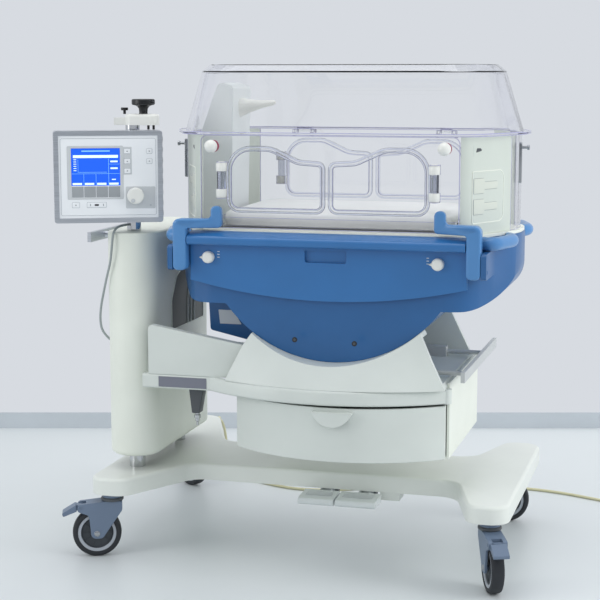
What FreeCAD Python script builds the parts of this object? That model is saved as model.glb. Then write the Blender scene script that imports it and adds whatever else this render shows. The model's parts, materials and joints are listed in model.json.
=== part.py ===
import FreeCAD, Part
import math
import os
from FreeCAD import Vector

# Infant incubator on a height-adjustable trolley. Millimetres, +Z up, the user stands at -Y.
# The origin lies on the floor, in the middle of the footprint.

# Clearances: turning and press fits, and running gaps
FIT = 0.05
GAP = 0.5

# Tub
BODY_X = 106.0
BODY_Y = -41.0
TUB_MID = 442.0
TUB_END = 345.0
TUB_DEPTH = 262.0
TUB_BOTTOM = 664.0
TUB_TOP = 838.0
TUB_END_ROUND = 115.0
TUB_WALL = 5.0
OUTLINE_FLAT = 55.0
CORNER_ROUND = 90.0
MID_REACH = 38.0
PANEL_THICK = 12.0
PANEL_HALF = TUB_END
RECESS_HALF = 52.0
RECESS_BOTTOM = 774.0
RECESS_TOP = 803.0
CREASE_LEFT_Z = 722.0
CREASE_MID_Z = 680.0
CREASE_RIGHT_Z = 720.0
RAIL_FRONT_Y = -345.0
RAIL_BOTTOM = 812.0
RAIL_TOP = 846.0
ROCKER_REAR_Y = 110.0
HANDLE_R = 16.0
HANDLE_Z = 828.0
HANDLE_PROUD = 12.0
HANDLE_REACH = TUB_MID + HANDLE_PROUD - HANDLE_R
ARM_HALF = 17.0
ARM_OUT = 19.0
ARM_X = TUB_END + ARM_OUT
ARM_CHEEK_GAP = 1.0
CHEEK_INNER = ARM_X + ARM_HALF + ARM_CHEEK_GAP
CHEEK_WIDTH = 13.0
CHEEK_DROP = 17.0
SERVICE_LEFT_X = -240.0
SERVICE_RIGHT_X = -60.0
SERVICE_BOTTOM = 548.0
SERVICE_SLOPE = 27.0
SERVICE_FRONT_Y = -180.0
SERVICE_REAR_Y = 40.0
SELECTOR_R = 15.0
SELECTOR_THICK = 16.0
SELECTOR_SHAFT_R = 4.0
SELECTOR_XS = {"tilt_knob_left": -191.0, "tilt_knob_right": 382.0}
SELECTOR_Z = 780.0

# Hood walls
WALL_MID = TUB_MID - 12.0
WALL_END = TUB_END - 11.0
WALL_DEPTH = TUB_DEPTH - 10.0
WALL_THICK = 8.0
HOOD_TOP = 1080.0
WALL_ROUND = 60.0
WINDOW_HALF = 78.0
DOOR_END_MARGIN = 13.0
DOOR_HALF = WALL_END - DOOR_END_MARGIN
DOOR_THICK = 6.0
DOOR_BOTTOM = 852.0
DOOR_TOP = 1078.0
DOOR_FRONT_Y = BODY_Y - WALL_DEPTH - GAP - DOOR_THICK
PORT_INNER_X = 13.0
PORT_MARGIN = 78.0
PORT_OUTER_X = DOOR_HALF - PORT_MARGIN
PORT_BOTTOM = 900.0
PORT_HIGH = 1044.0
PORT_LOW = 1008.0
PORT_LAP = 8.0
PORT_THICK = 5.0
HINGE_OUT = 21.0
HINGE_X = PORT_OUTER_X + HINGE_OUT
HINGE_BOTTOM = 926.0
HINGE_TOP = 1014.0
HINGE_R = 12.0
HINGE_PIN_R = 4.0
DOOR_PIVOT_Y = -330.0
DOOR_PIVOT_Z = 765.0
DOOR_PIN_R = 5.0
ARM_SHELF_BOTTOM = 852.0
ARM_SHELF_TOP = 874.0
ARM_TAB_TOP = 906.0
ARM_GRIP = 56.0
ARM_BACK_Y = -313.0
BALL_R = 16.0
BALL_MARGIN = 33.0
BALL_X = DOOR_HALF - BALL_MARGIN
BALL_SPINDLE_R = 4.0
BALL_Z = 1052.0

# Canopy
CANOPY_BOTTOM = HOOD_TOP + GAP
CANOPY_TOP = 1250.0
CANOPY_SHOULDER = 16.0
CANOPY_WALL = 4.5
CANOPY_BASE = (WALL_MID + 6.0, WALL_END + 10.0, WALL_DEPTH)
CANOPY_ROOF = (CANOPY_BASE[0] - 54.0, CANOPY_BASE[1] - 16.0, CANOPY_BASE[2] - 56.0)
CANOPY_HINGE_X = 200.0
FLANGE_OUT = 16.0
FLANGE_THICK = 5.0
CANOPY_PIVOT_Y = BODY_Y + CANOPY_BASE[2] + FLANGE_OUT + 6.0
CANOPY_PIVOT_Z = 1078.0
CANOPY_PIN_R = 4.0
CANOPY_KNUCKLE_HALF = 20.0

# Deck, tray and mattress
DECK_THICK = 8.0
DECK_TOP = TUB_TOP + DECK_THICK
FAN_R = 72.0
FAN_HUB_R = 14.0
FAN_HEIGHT = 36.0
FAN_BLADES = 8
FAN_SHAFT_R = 4.0
MOTOR_R = 26.0
MOTOR_HEIGHT = 34.0
TOWER_SET = 42.0
TOWER_FOOT = 92.0
TRAY_TOWER_GAP = 3.0
TRAY_HALF_X = TUB_MID - TOWER_SET - TOWER_FOOT - TRAY_TOWER_GAP
TRAY_HALF_Y = TUB_DEPTH - 67.0
TRAY_ROUND = 24.0
TRAY_WALL = 5.0
TRAY_HEIGHT = 26.0
MATTRESS_THICK = 38.0
MATTRESS_GAP = 0.3
MATTRESS_ROUND = 8.0

# Sensor tower
TOWER_LEFT_X = BODY_X - TUB_MID + TOWER_SET
TOWER_TOP = 1208.0
TOWER_BEND_Z = 1078.0
TOWER_FRONT_Y = BODY_Y - 60.0
TOWER_REAR_Y = BODY_Y + 90.0

# Lift column
COLUMN_HALF = 67.0
COLUMN_HANDLE_GAP = 11.0
POST_X = BODY_X - HANDLE_REACH - HANDLE_R - COLUMN_HANDLE_GAP - COLUMN_HALF
POST_Y = -217.0
REAR_POST_Y = 90.0
POST_R = 20.5
POST_TOP = 690.0
GUIDE_WALL = 8.0
GUIDE_BOTTOM = 300.0
GUIDE_TOP = 640.0
COLUMN_REAR_Y = 175.0
COLUMN_BOTTOM = 250.0
COLUMN_TOP = 830.0
COLUMN_WALL = 7.0
COLUMN_LIP = 16.0

# Trolley base
LEFT_LEG_X = POST_X - 30.0
RIGHT_LEG_X = 517.0
FRONT_STEM_Y = -321.0
REAR_LEFT_STEM_Y = 364.0
REAR_RIGHT_STEM_Y = 260.0
LEG_HALF = 48.0
LEG_END_ROUND = 46.0
BASE_UNDER = 168.0
BASE_THICK = 44.0
BASE_TOP = BASE_UNDER + BASE_THICK
BASE_EDGE_ROUND = 9.0
BEAM_FRONT_Y = -150.0
BEAM_REAR_Y = 110.0
BEAM_FLARE = 118.0
BEAM_FLARE_RIGHT = 62.0
BEAM_ROUND = 60.0

# Casters
WHEEL_R = 62.5
WHEEL_WIDTH = 32.0
TYRE_DEPTH = 11.0
TREAD_ROUND = 5.0
HUB_R = 16.0
TRAIL = 40.0
AXLE_R = 6.0
STEM_R = 10.0
STEM_LENGTH = 30.0
FORK_HEAD_R = 25.0
FORK_HEAD_HEIGHT = 22.0
FORK_HALF = 23.0
FORK_SLOT_HALF = 17.5
FORK_WHEEL_GAP = 5.0
BRAKE_PIVOT_X = 80.0
BRAKE_PIVOT_Z = 130.0
BRAKE_PIN_R = 4.0
BRAKE_EAR_R = 9.0
BRAKE_HALF = 19.0
BRAKE_LENGTH = 46.0
CASTER_ANGLES = {"front_left": 202.5, "front_right": 291.5, "rear_left": 148.5, "rear_right": 184.0}
CASTER_STEMS = {
    "front_left": (LEFT_LEG_X, FRONT_STEM_Y),
    "front_right": (RIGHT_LEG_X, FRONT_STEM_Y),
    "rear_left": (LEFT_LEG_X, REAR_LEFT_STEM_Y),
    "rear_right": (RIGHT_LEG_X, REAR_RIGHT_STEM_Y),
}

# Foot pedals for the height drive
PEDAL_PIVOT_Y = -72.0
PEDAL_PIVOT_Z = 150.0
PEDAL_PIN_R = 4.0
PEDAL_FRONT_Y = -238.0
PEDAL_REAR_Y = -158.0
PEDAL_TOP = 166.0
PEDAL_THICK = 21.0
PEDAL_ROUND = 7.0
PEDAL_ARM_HALF = 14.0
PEDAL_SPANS = {"pedal_raise": (14.0, 106.0), "pedal_lower": (111.0, 214.0)}
DRIVE_LEFT_X = 208.0
DRIVE_WIDTH = 50.0
DRIVE_DROP = 22.0

# Monitor and its mast
MAST_R = 18.0
MAST_TOP = 1112.0
MAST_SOCKET = 20.0
COLLAR_TOP = 20.0
COLLAR_HEIGHT = 14.0
MONITOR_ANGLE = 25.0
MONITOR_LEFT = -201.0
MONITOR_RIGHT = 69.0
MONITOR_BOTTOM = 858.0
MONITOR_TOP = 1087.0
MONITOR_FRONT = 80.0
MONITOR_BACK = 24.0
MONITOR_WALL = 12.0
MONITOR_ROUND = 7.0
FASCIA_DEPTH = 10.0
FASCIA_SET = 2.0
SCREEN_LEFT = -158.0
SCREEN_RIGHT = -37.0
SCREEN_BOTTOM = 951.0
SCREEN_TOP = 1044.0
SCREEN_SET = 0.5
SCREEN_DEPTH = 1.5
HUB_HEIGHT = 70.0
KNOB_U = 0.0
KNOB_Z = 925.0
KNOB_R = 21.0
KNOB_LENGTH = 20.0
KNOB_SHAFT_R = 3.0

# Accessory clamp on the mast
CLAMP_X = POST_X + 27.0
CLAMP_KNOB_X = CLAMP_X + 3.0
CLAMP_BOTTOM = 1099.0
CLAMP_HEIGHT = 28.0
CLAMP_HALF = 42.0
CLAMP_HALF_DEPTH = 27.0
CLAMP_KNOB_R = 29.5
CLAMP_KNOB_THICK = 21.0
CLAMP_STEM_R = 9.0
CLAMP_KNOB_RISE = 16.0

# Cradle, bumper and drawer
ROCK_X = 118.0
ROCK_Z = 865.0
ROCK_R = 336.0
ROCK_GAP = 0.5
ROCKER_WALL = 7.0
SADDLE_WALL = 12.0
SADDLE_DEPTH = 60.0
CRADLE_LEFT_TIP = 36.5
CRADLE_RIGHT_TIP = 41.0
CRADLE_FRONT_Y = -306.0
CRADLE_REAR_Y = 118.0
CRADLE_WALL = 14.0
CRADLE_FLOOR = 16.0
CRADLE_LOW_LEFT_X = -145.0
CRADLE_LOW_RIGHT_X = 402.0
BUMPER_LEFT_X = POST_X + 51.0
BUMPER_BEND_X = -195.0
BUMPER_RIGHT_X = 415.0
BUMPER_SIDE_Y = -305.0
BOW_X = 118.0
BOW_Y = -402.0
BUMPER_BOTTOM = 440.0
BUMPER_TOP = 476.0
BUMPER_DEPTH = 24.0
BUMPER_ROUND = 6.0
INSERT_LEFT_X = -331.0
INSERT_DEPTH = 5.0
INSERT_MARGIN = 5.0
ARM_THICK = 22.0
ARM_TOP_LEFT = 603.0
ARM_TOP_RIGHT = 553.0
ARM_RIGHT_X = -60.0
HOUSING_LEFT_X = -127.0
HOUSING_RIGHT_X = 408.0
HOUSING_FRONT_Y = -280.0
HOUSING_REAR_Y = 150.0
HOUSING_BOTTOM = 300.0
HOUSING_SIDE_TOP = 488.0
HOUSING_WALL = 6.0
DRAWER_GAP = 4.0
DRAWER_TOP = 434.0
DRAWER_WALL = 5.0
DRAWER_FRONT_WALL = 9.0
DRAWER_SETBACK = 10.0
GRIP_X = 145.0
GRIP_HALF = 50.0
GRIP_DROP = 36.0
GRIP_REACH = 18.0
HOOK_X = -242.0
HOOK_HALF = 22.0
HOOK_Y = -250.0
HOOK_BOTTOM = 341.0
HOOK_REACH = 34.0
HOOK_LIP = 34.0
HOOK_THICK = 8.0

# Side rails, 25 x 10 mm section
RAIL_HEIGHT = 25.0
RAIL_THICK = 10.0
SIDE_RAIL_X = POST_X - 114.0
SIDE_RAIL_FRONT_Y = -253.0
SIDE_RAIL_REAR_Y = 90.0
SIDE_RAIL_BOTTOM = 800.0
SPACER_R = 8.0
RIGHT_RAIL_X = 436.0
RIGHT_RAIL_FRONT_Y = -292.0
RIGHT_RAIL_REAR_Y = 230.0
RIGHT_RAIL_BOTTOM = 492.0
RAIL_ROD_R = 6.0
RAIL_ROD_YS = (-236.0, 60.0)
RAIL_ROD_INNER_X = 300.0

# Mains lead
CORD_R = 4.0
GLAND_R = 9.0
GLAND_LENGTH = 18.0
GLAND_X = POST_X - 4.0
GLAND_Z = 190.0
MAINS_ROUTE = [
    (-430.0, 430.0, 190.0), (-430.0, 470.0, 190.0), (-428.0, 506.0, 160.0), (-425.0, 520.0, 110.0),
    (-418.0, 515.0, 60.0), (-395.0, 500.0, 18.0), (-350.0, 478.0, 4.0), (-290.0, 450.0, 4.0),
    (-230.0, 420.0, 4.0), (-152.0, 400.0, 4.0), (-60.0, 418.0, 4.0), (40.0, 470.0, 4.0),
    (150.0, 520.0, 4.0), (265.0, 548.0, 4.0), (380.0, 580.0, 4.0), (489.0, 592.0, 4.0),
    (600.0, 570.0, 4.0), (700.0, 525.0, 4.0), (790.0, 490.0, 4.0), (870.0, 470.0, 4.0),
]
COIL_R = 45.0
COIL_HALF_WIDTH = 12.5
COIL_HEIGHT = 24.0
COIL_CHAMFER = 5.0
COIL_AHEAD = 10.0
PLUG_LENGTH = 46.0
PLUG_R = 17.0

# Monitor lead
LEAD_R = 3.0
LEAD_ROUTE = [
    (-437.0, -231.0, 846.0), (-449.0, -258.0, 846.0), (-455.0, -286.0, 834.0), (-457.0, -292.0, 800.0),
    (-464.0, -286.0, 755.0), (-480.0, -274.0, 715.0), (-494.0, -261.0, 676.0), (-507.0, -251.0, 636.0),
    (-513.0, -245.0, 596.0), (-508.0, -240.0, 564.0), (-491.0, -232.0, 546.0),
]


def box(x0, x1, y0, y1, z0, z1):
    """Block between two corners."""
    return Part.makeBox(x1 - x0, y1 - y0, z1 - z0, Vector(x0, y0, z0))


def rod(start, end, radius):
    """Round bar from one point to another."""
    start = Vector(*start)
    along = Vector(*end) - start
    return Part.makeCylinder(radius, along.Length, start, along)


def on_plan(z):
    """Place for a profile drawn in plan at height z."""
    return lambda a, b: Vector(a, b, z)


def on_front(y):
    """Place for a profile drawn as width and height at depth y."""
    return lambda a, b: Vector(a, y, b)


def on_side(x):
    """Place for a profile drawn as depth and height at width x."""
    return lambda a, b: Vector(x, a, b)


def rounded_wire(corners, place):
    """Closed wire through (a, b, radius) corners, each rounded by a tangent arc."""
    spans = []
    count = len(corners)
    for i, (a, b, radius) in enumerate(corners):
        here = Vector(a, b, 0)
        to_last = (Vector(*corners[i - 1][:2], 0) - here).normalize()
        to_next = (Vector(*corners[(i + 1) % count][:2], 0) - here).normalize()
        if radius <= 0:
            spans.append((here, None, here))
            continue
        half = to_last.getAngle(to_next) / 2
        reach = radius / math.tan(half)
        centre = here + (to_last + to_next).normalize() * (radius / math.sin(half))
        middle = centre + (here - centre).normalize() * radius
        spans.append((here + to_last * reach, middle, here + to_next * reach))
    edges = []
    for i, (start, middle, end) in enumerate(spans):
        if middle is not None:
            edges.append(Part.Arc(*(place(p.x, p.y) for p in (start, middle, end))).toShape())
        follow = spans[(i + 1) % count][0]
        if (follow - end).Length > 1e-6:
            edges.append(Part.makeLine(place(end.x, end.y), place(follow.x, follow.y)))
    return Part.Wire(edges)


def plate(corners, place, push):
    """Solid from a rounded profile pushed along a vector."""
    return Part.Face(rounded_wire(corners, place)).extrude(push)


def plan_plate(corners, z0, z1):
    """Solid from a plan profile between two heights."""
    return plate(corners, on_plan(z0), Vector(0, 0, z1 - z0))


def front_plate(corners, y0, y1):
    """Solid from a front-view profile between two depths."""
    return plate(corners, on_front(y0), Vector(0, y1 - y0, 0))


def side_plate(corners, x0, x1):
    """Solid from a side-view profile between two widths."""
    return plate(corners, on_side(x0), Vector(x1 - x0, 0, 0))


def curve_plate(edges, push):
    """Solid from a closed run of ready edges pushed along a vector."""
    return Part.Face(Part.Wire(edges)).extrude(push)


def arc(first, middle, last):
    """Arc edge through three points."""
    return Part.Arc(Vector(*first), Vector(*middle), Vector(*last)).toShape()


def line(first, last):
    """Straight edge between two points."""
    return Part.makeLine(Vector(*first), Vector(*last))


def soften(shape, radius, wanted):
    """Round the edges that the test picks."""
    return shape.makeFillet(radius, [edge for edge in shape.Edges if wanted(edge)])


def at_height(z):
    """Test for edges that lie level at height z."""
    return lambda edge: all(abs(v.Point.z - z) < 1e-6 for v in edge.Vertexes)


def mirrored_x(shape, x=BODY_X):
    """Mirror image across the plane of constant x."""
    return shape.mirror(Vector(x, 0, 0), Vector(1, 0, 0))


def mirrored_y(shape, y=BODY_Y):
    """Mirror image across the plane of constant y."""
    return shape.mirror(Vector(0, y, 0), Vector(0, 1, 0))


def tube_path(points):
    """Straight runs joined by tangent arcs, each as large as its two runs allow, with the radii."""
    spots = [Vector(*p) for p in points]
    edges = []
    radii = []
    start = spots[0]
    for before, here, after in zip(spots, spots[1:], spots[2:]):
        back = before - here
        ahead = after - here
        half_turn = (math.pi - back.getAngle(ahead)) / 2
        reach = 0.45 * min(back.Length, ahead.Length)
        radius = reach / math.tan(half_turn)
        radii.append(radius)
        back.normalize()
        ahead.normalize()
        inward = (back + ahead).normalize()
        first, last = here + back * reach, here + ahead * reach
        middle = here + inward * (radius / math.cos(half_turn) - radius)
        edges.append(Part.makeLine(start, first))
        edges.append(Part.Arc(first, middle, last).toShape())
        start = last
    edges.append(Part.makeLine(start, spots[-1]))
    return Part.Wire(edges), radii


def tube(points, radius):
    """Round tube along a route, and its bend radii."""
    path, radii = tube_path(points)
    first = Vector(*points[0])
    along = Vector(*points[1]) - first
    circle = Part.Wire(Part.makeCircle(radius, first, along))
    return path.makePipeShell([circle], True, True), radii


def body_outline(mid, end, depth, corner=CORNER_ROUND):
    """Plan outline of tub and hood: long straight sides and ends that swell outwards."""
    swell = math.atan2(mid - end, depth - OUTLINE_FLAT)
    mid_round = MID_REACH / math.tan(swell / 2)
    side = [
        (end, -depth, corner),
        (mid, -OUTLINE_FLAT, mid_round),
        (mid, OUTLINE_FLAT, mid_round),
        (end, depth, corner),
    ]
    points = side + [(-x, y, r) for x, y, r in reversed(side)]
    return [(BODY_X + x, BODY_Y + y, r) for x, y, r in points]


# Trolley base and casters

def base_outline():
    """Two legs along Y joined by a broad beam."""
    left, right, half, end = LEFT_LEG_X, RIGHT_LEG_X, LEG_HALF, LEG_END_ROUND
    front = FRONT_STEM_Y - half
    rear_left = REAR_LEFT_STEM_Y + half
    rear_right = REAR_RIGHT_STEM_Y + half
    return [
        (left - half, front, end),
        (left + half, front, end),
        (left + half + BEAM_FLARE, BEAM_FRONT_Y, BEAM_ROUND),
        (right - half - BEAM_FLARE_RIGHT, BEAM_FRONT_Y, BEAM_ROUND),
        (right - half, front, end),
        (right + half, front, end),
        (right + half, rear_right, end),
        (right - half, rear_right, end),
        (right - half - BEAM_FLARE_RIGHT, BEAM_REAR_Y, BEAM_ROUND),
        (left + half + BEAM_FLARE, BEAM_REAR_Y, BEAM_ROUND),
        (left + half, rear_left, end),
        (left - half, rear_left, end),
    ]


def make_base_frame():
    """Cast base with a blind socket over each caster, the drive's boss and the mains gland."""
    base = plan_plate(base_outline(), BASE_UNDER, BASE_TOP)
    base = soften(base, BASE_EDGE_ROUND, at_height(BASE_TOP))
    base = base.fuse(box(DRIVE_LEFT_X, DRIVE_LEFT_X + DRIVE_WIDTH, BEAM_FRONT_Y + 6, BEAM_FRONT_Y + 60,
                         BASE_UNDER - DRIVE_DROP, BASE_UNDER))
    gland_x, gland_y = GLAND_X, MAINS_ROUTE[0][1]
    gland_root = gland_y - GLAND_LENGTH - 12
    base = base.fuse(rod((gland_x, gland_root, GLAND_Z), (gland_x, gland_y, GLAND_Z), GLAND_R))
    for x, y in CASTER_STEMS.values():
        base = base.cut(rod((x, y, BASE_UNDER), (x, y, BASE_UNDER + STEM_LENGTH + GAP), STEM_R + FIT))
    return base


def make_lift_posts():
    """Two chromed inner posts that stand on the left leg."""
    posts = [rod((POST_X, y, BASE_TOP), (POST_X, y, POST_TOP), POST_R) for y in (POST_Y, REAR_POST_Y)]
    return Part.makeCompound(posts)


def placed_caster(shape, name):
    """Turn a caster piece from its own frame to its swivel's rest angle and move it to its stem."""
    x, y = CASTER_STEMS[name]
    shape = shape.copy()
    shape.rotate(Vector(0, 0, 0), Vector(0, 0, 1), CASTER_ANGLES[name])
    shape.translate(Vector(x, y, 0))
    return shape


def make_fork():
    """Swivel head, crown over the wheel, two legs, axle and stem. The wheel trails along +X."""
    head_top = BASE_UNDER - GAP
    crown_top = head_top - FORK_HEAD_HEIGHT
    profile = [
        (-FORK_HEAD_R, crown_top, 2),
        (-FORK_HEAD_R, crown_top - 22, 12),
        (TRAIL - 14, WHEEL_R - 13, 12.5),
        (TRAIL + 14, WHEEL_R - 13, 12.5),
        (TRAIL + 20, WHEEL_R + 48, 12),
        (BRAKE_PIVOT_X + BRAKE_EAR_R, BRAKE_PIVOT_Z - BRAKE_EAR_R, BRAKE_EAR_R - 0.1),
        (BRAKE_PIVOT_X + BRAKE_EAR_R, BRAKE_PIVOT_Z + BRAKE_EAR_R, BRAKE_EAR_R - 0.1),
        (FORK_HEAD_R, crown_top, 8),
    ]
    body = front_plate(profile, -FORK_HALF, FORK_HALF)
    body = body.fuse(rod((0, 0, crown_top), (0, 0, head_top), FORK_HEAD_R))
    slot_r = WHEEL_R + FORK_WHEEL_GAP
    body = body.cut(rod((TRAIL, -FORK_SLOT_HALF, WHEEL_R), (TRAIL, FORK_SLOT_HALF, WHEEL_R), slot_r))
    notch_half = BRAKE_HALF - 7 + GAP
    body = body.cut(box(BRAKE_PIVOT_X - 13, BRAKE_PIVOT_X + 20, -notch_half, notch_half, 100, 160))
    pin = BRAKE_PIN_R + FIT
    body = body.cut(rod((BRAKE_PIVOT_X, -FORK_HALF - 1, BRAKE_PIVOT_Z),
                        (BRAKE_PIVOT_X, FORK_HALF + 1, BRAKE_PIVOT_Z), pin))
    body = body.fuse(rod((TRAIL, -FORK_HALF - 1, WHEEL_R), (TRAIL, FORK_HALF + 1, WHEEL_R), AXLE_R))
    return body.fuse(rod((0, 0, crown_top), (0, 0, BASE_UNDER + STEM_LENGTH), STEM_R))


def make_tyre():
    """Ring with a chamfered tread."""
    inner = WHEEL_R - TYRE_DEPTH
    half = WHEEL_WIDTH / 2
    shoulder = WHEEL_R - TREAD_ROUND
    profile = [(inner, -half + 2, 0), (shoulder, -half, 0), (WHEEL_R, -half + TREAD_ROUND, 0),
               (WHEEL_R, half - TREAD_ROUND, 0), (shoulder, half, 0), (inner, half - 2, 0)]
    face = Part.Face(rounded_wire(profile, lambda a, b: Vector(TRAIL + a, b, WHEEL_R)))
    return face.revolve(Vector(TRAIL, 0, WHEEL_R), Vector(0, 1, 0), 360)


def make_hub():
    """Wheel centre with a rim, a thin web and a thick boss round the axle."""
    rim = WHEEL_R - TYRE_DEPTH
    half = WHEEL_WIDTH / 2
    bore = AXLE_R + FIT
    profile = [
        (bore, -half + 1, 0), (HUB_R, -half + 1, 0), (HUB_R + 2, -half + 6, 0), (rim - 9, -half + 6, 0),
        (rim - 7, -half + 2, 0), (rim, -half + 2, 0), (rim, half - 2, 0), (rim - 7, half - 2, 0),
        (rim - 9, half - 6, 0), (HUB_R + 2, half - 6, 0), (HUB_R, half - 1, 0), (bore, half - 1, 0),
    ]
    face = Part.Face(rounded_wire(profile, lambda a, b: Vector(TRAIL + a, b, WHEEL_R)))
    return face.revolve(Vector(TRAIL, 0, WHEEL_R), Vector(0, 1, 0), 360)


def make_brake():
    """Foot lever hinged in the end of the crown."""
    x, z, tip = BRAKE_PIVOT_X, BRAKE_PIVOT_Z, BRAKE_PIVOT_X + BRAKE_LENGTH
    lever = front_plate([(x + 11, z - 9, 2), (tip, z - 22, 3), (tip + 2, z - 13, 3), (x + 11, z + 9, 4)],
                        -BRAKE_HALF, BRAKE_HALF)
    root_half = BRAKE_HALF - 7
    lever = lever.fuse(front_plate([(x - 6, z - 6, 5), (x + 13, z - 8, 0), (x + 13, z + 7, 0),
                                    (x - 6, z + 6, 5)], -root_half, root_half))
    return lever.fuse(rod((x, -FORK_HALF + 1, z), (x, FORK_HALF - 1, z), BRAKE_PIN_R))


def make_pedal_bracket():
    """Ears under the beam that carry the pedal pins, and the drive's cream end block."""
    ears = []
    for x0, x1 in PEDAL_SPANS.values():
        middle = (x0 + x1) / 2
        for side in (-1, 1):
            inner = middle + side * (PEDAL_ARM_HALF + GAP)
            outer = middle + side * (PEDAL_ARM_HALF + 8)
            profile = [(PEDAL_PIVOT_Y - 14, BASE_UNDER, 0), (PEDAL_PIVOT_Y - 10, PEDAL_PIVOT_Z - 10, 8),
                       (PEDAL_PIVOT_Y + 10, PEDAL_PIVOT_Z - 10, 8), (PEDAL_PIVOT_Y + 14, BASE_UNDER, 0)]
            ear = side_plate(profile, min(inner, outer), max(inner, outer))
            ears.append(ear.cut(rod((inner - 30, PEDAL_PIVOT_Y, PEDAL_PIVOT_Z),
                                    (inner + 30, PEDAL_PIVOT_Y, PEDAL_PIVOT_Z), PEDAL_PIN_R + FIT)))
    return Part.makeCompound(ears)


def make_pedal(name):
    """Broad tread on an arm that swings on a pin under the beam."""
    x0, x1 = PEDAL_SPANS[name]
    middle = (x0 + x1) / 2
    tread = side_plate([(PEDAL_FRONT_Y, PEDAL_TOP - PEDAL_THICK, PEDAL_ROUND),
                        (PEDAL_REAR_Y, PEDAL_TOP - PEDAL_THICK, 2),
                        (PEDAL_REAR_Y, PEDAL_TOP, 2),
                        (PEDAL_FRONT_Y + 6, PEDAL_TOP - 4, PEDAL_ROUND)], x0, x1)
    arm = side_plate([(PEDAL_REAR_Y - 10, PEDAL_TOP - PEDAL_THICK + 2, 0),
                      (PEDAL_PIVOT_Y + 8, PEDAL_PIVOT_Z - 8, 7),
                      (PEDAL_PIVOT_Y + 8, PEDAL_PIVOT_Z + 8, 7),
                      (PEDAL_REAR_Y - 10, PEDAL_TOP - 6, 0)],
                     middle - PEDAL_ARM_HALF, middle + PEDAL_ARM_HALF)
    reach = PEDAL_ARM_HALF + 7
    pin = rod((middle - reach, PEDAL_PIVOT_Y, PEDAL_PIVOT_Z), (middle + reach, PEDAL_PIVOT_Y, PEDAL_PIVOT_Z),
              PEDAL_PIN_R)
    return tread.fuse(arm).fuse(pin)


# Lift column

def column_outline(inset):
    """Plan of the column cover: a round nose in front and square shoulders behind."""
    half = COLUMN_HALF - inset
    front = POST_Y - COLUMN_HALF + inset
    rear = COLUMN_REAR_Y - inset
    nose = half - 0.1
    heel = max(28 - inset, 4)
    return [(POST_X - half, front, nose), (POST_X + half, front, nose),
            (POST_X + half, rear, heel), (POST_X - half, rear, heel)]


def make_column_cover():
    """Deep hollow cover, closed on top, with a lip round its open foot."""
    cover = plan_plate(column_outline(0), COLUMN_BOTTOM, COLUMN_TOP)
    cover = soften(cover, COLUMN_LIP - 1, at_height(COLUMN_BOTTOM))
    cover = soften(cover, 5, at_height(COLUMN_TOP))
    cavity = plan_plate(column_outline(COLUMN_WALL), COLUMN_BOTTOM + COLUMN_LIP + 6, COLUMN_TOP - COLUMN_WALL)
    mouth = plan_plate(column_outline(COLUMN_WALL + COLUMN_LIP), COLUMN_BOTTOM - 1, COLUMN_BOTTOM + 60)
    cover = cover.cut(cavity).cut(mouth)
    socket = rod((POST_X, POST_Y, COLUMN_TOP - MAST_SOCKET), (POST_X, POST_Y, COLUMN_TOP + 1), MAST_R)
    return cover.cut(socket)


def make_lift_guides():
    """Outer tubes that run on the posts, tied to the cover by a top and a bottom web."""
    web = plan_plate(column_outline(COLUMN_WALL), GUIDE_TOP - 12, GUIDE_TOP)
    web = web.fuse(plan_plate(column_outline(COLUMN_WALL), GUIDE_BOTTOM, GUIDE_BOTTOM + 12))
    for y in (POST_Y, REAR_POST_Y):
        web = web.fuse(rod((POST_X, y, GUIDE_BOTTOM), (POST_X, y, GUIDE_TOP), POST_R + GUIDE_WALL))
    for y in (POST_Y, REAR_POST_Y):
        web = web.cut(rod((POST_X, y, GUIDE_BOTTOM - 1), (POST_X, y, GUIDE_TOP + 1), POST_R + FIT))
    return web


def make_side_rail():
    """Equipment rail along the column's left side, with two spacers."""
    rail = box(SIDE_RAIL_X, SIDE_RAIL_X + RAIL_THICK, SIDE_RAIL_FRONT_Y, SIDE_RAIL_REAR_Y,
               SIDE_RAIL_BOTTOM, SIDE_RAIL_BOTTOM + RAIL_HEIGHT)
    z = SIDE_RAIL_BOTTOM + RAIL_HEIGHT / 2
    for y in (SIDE_RAIL_FRONT_Y + 90, SIDE_RAIL_REAR_Y - 60):
        rail = rail.fuse(rod((SIDE_RAIL_X + 5, y, z), (POST_X - COLUMN_HALF, y, z), SPACER_R))
    return rail


# Monitor

def turned_monitor(shape):
    """Carry a shape from the monitor's own frame, with its face at -Y, to the mast at rest."""
    shape = shape.copy()
    shape.rotate(Vector(0, 0, 0), Vector(0, 0, 1), MONITOR_ANGLE)
    shape.translate(Vector(POST_X, POST_Y, 0))
    return shape


def make_monitor_mast():
    """Post on top of the column, with a collar that carries the monitor."""
    mast = rod((POST_X, POST_Y, COLUMN_TOP - MAST_SOCKET), (POST_X, POST_Y, MAST_TOP), MAST_R)
    collar = rod((POST_X, POST_Y, MONITOR_BOTTOM + COLLAR_TOP - COLLAR_HEIGHT),
                 (POST_X, POST_Y, MONITOR_BOTTOM + COLLAR_TOP), MAST_R + 5)
    return mast.fuse(collar)


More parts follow.
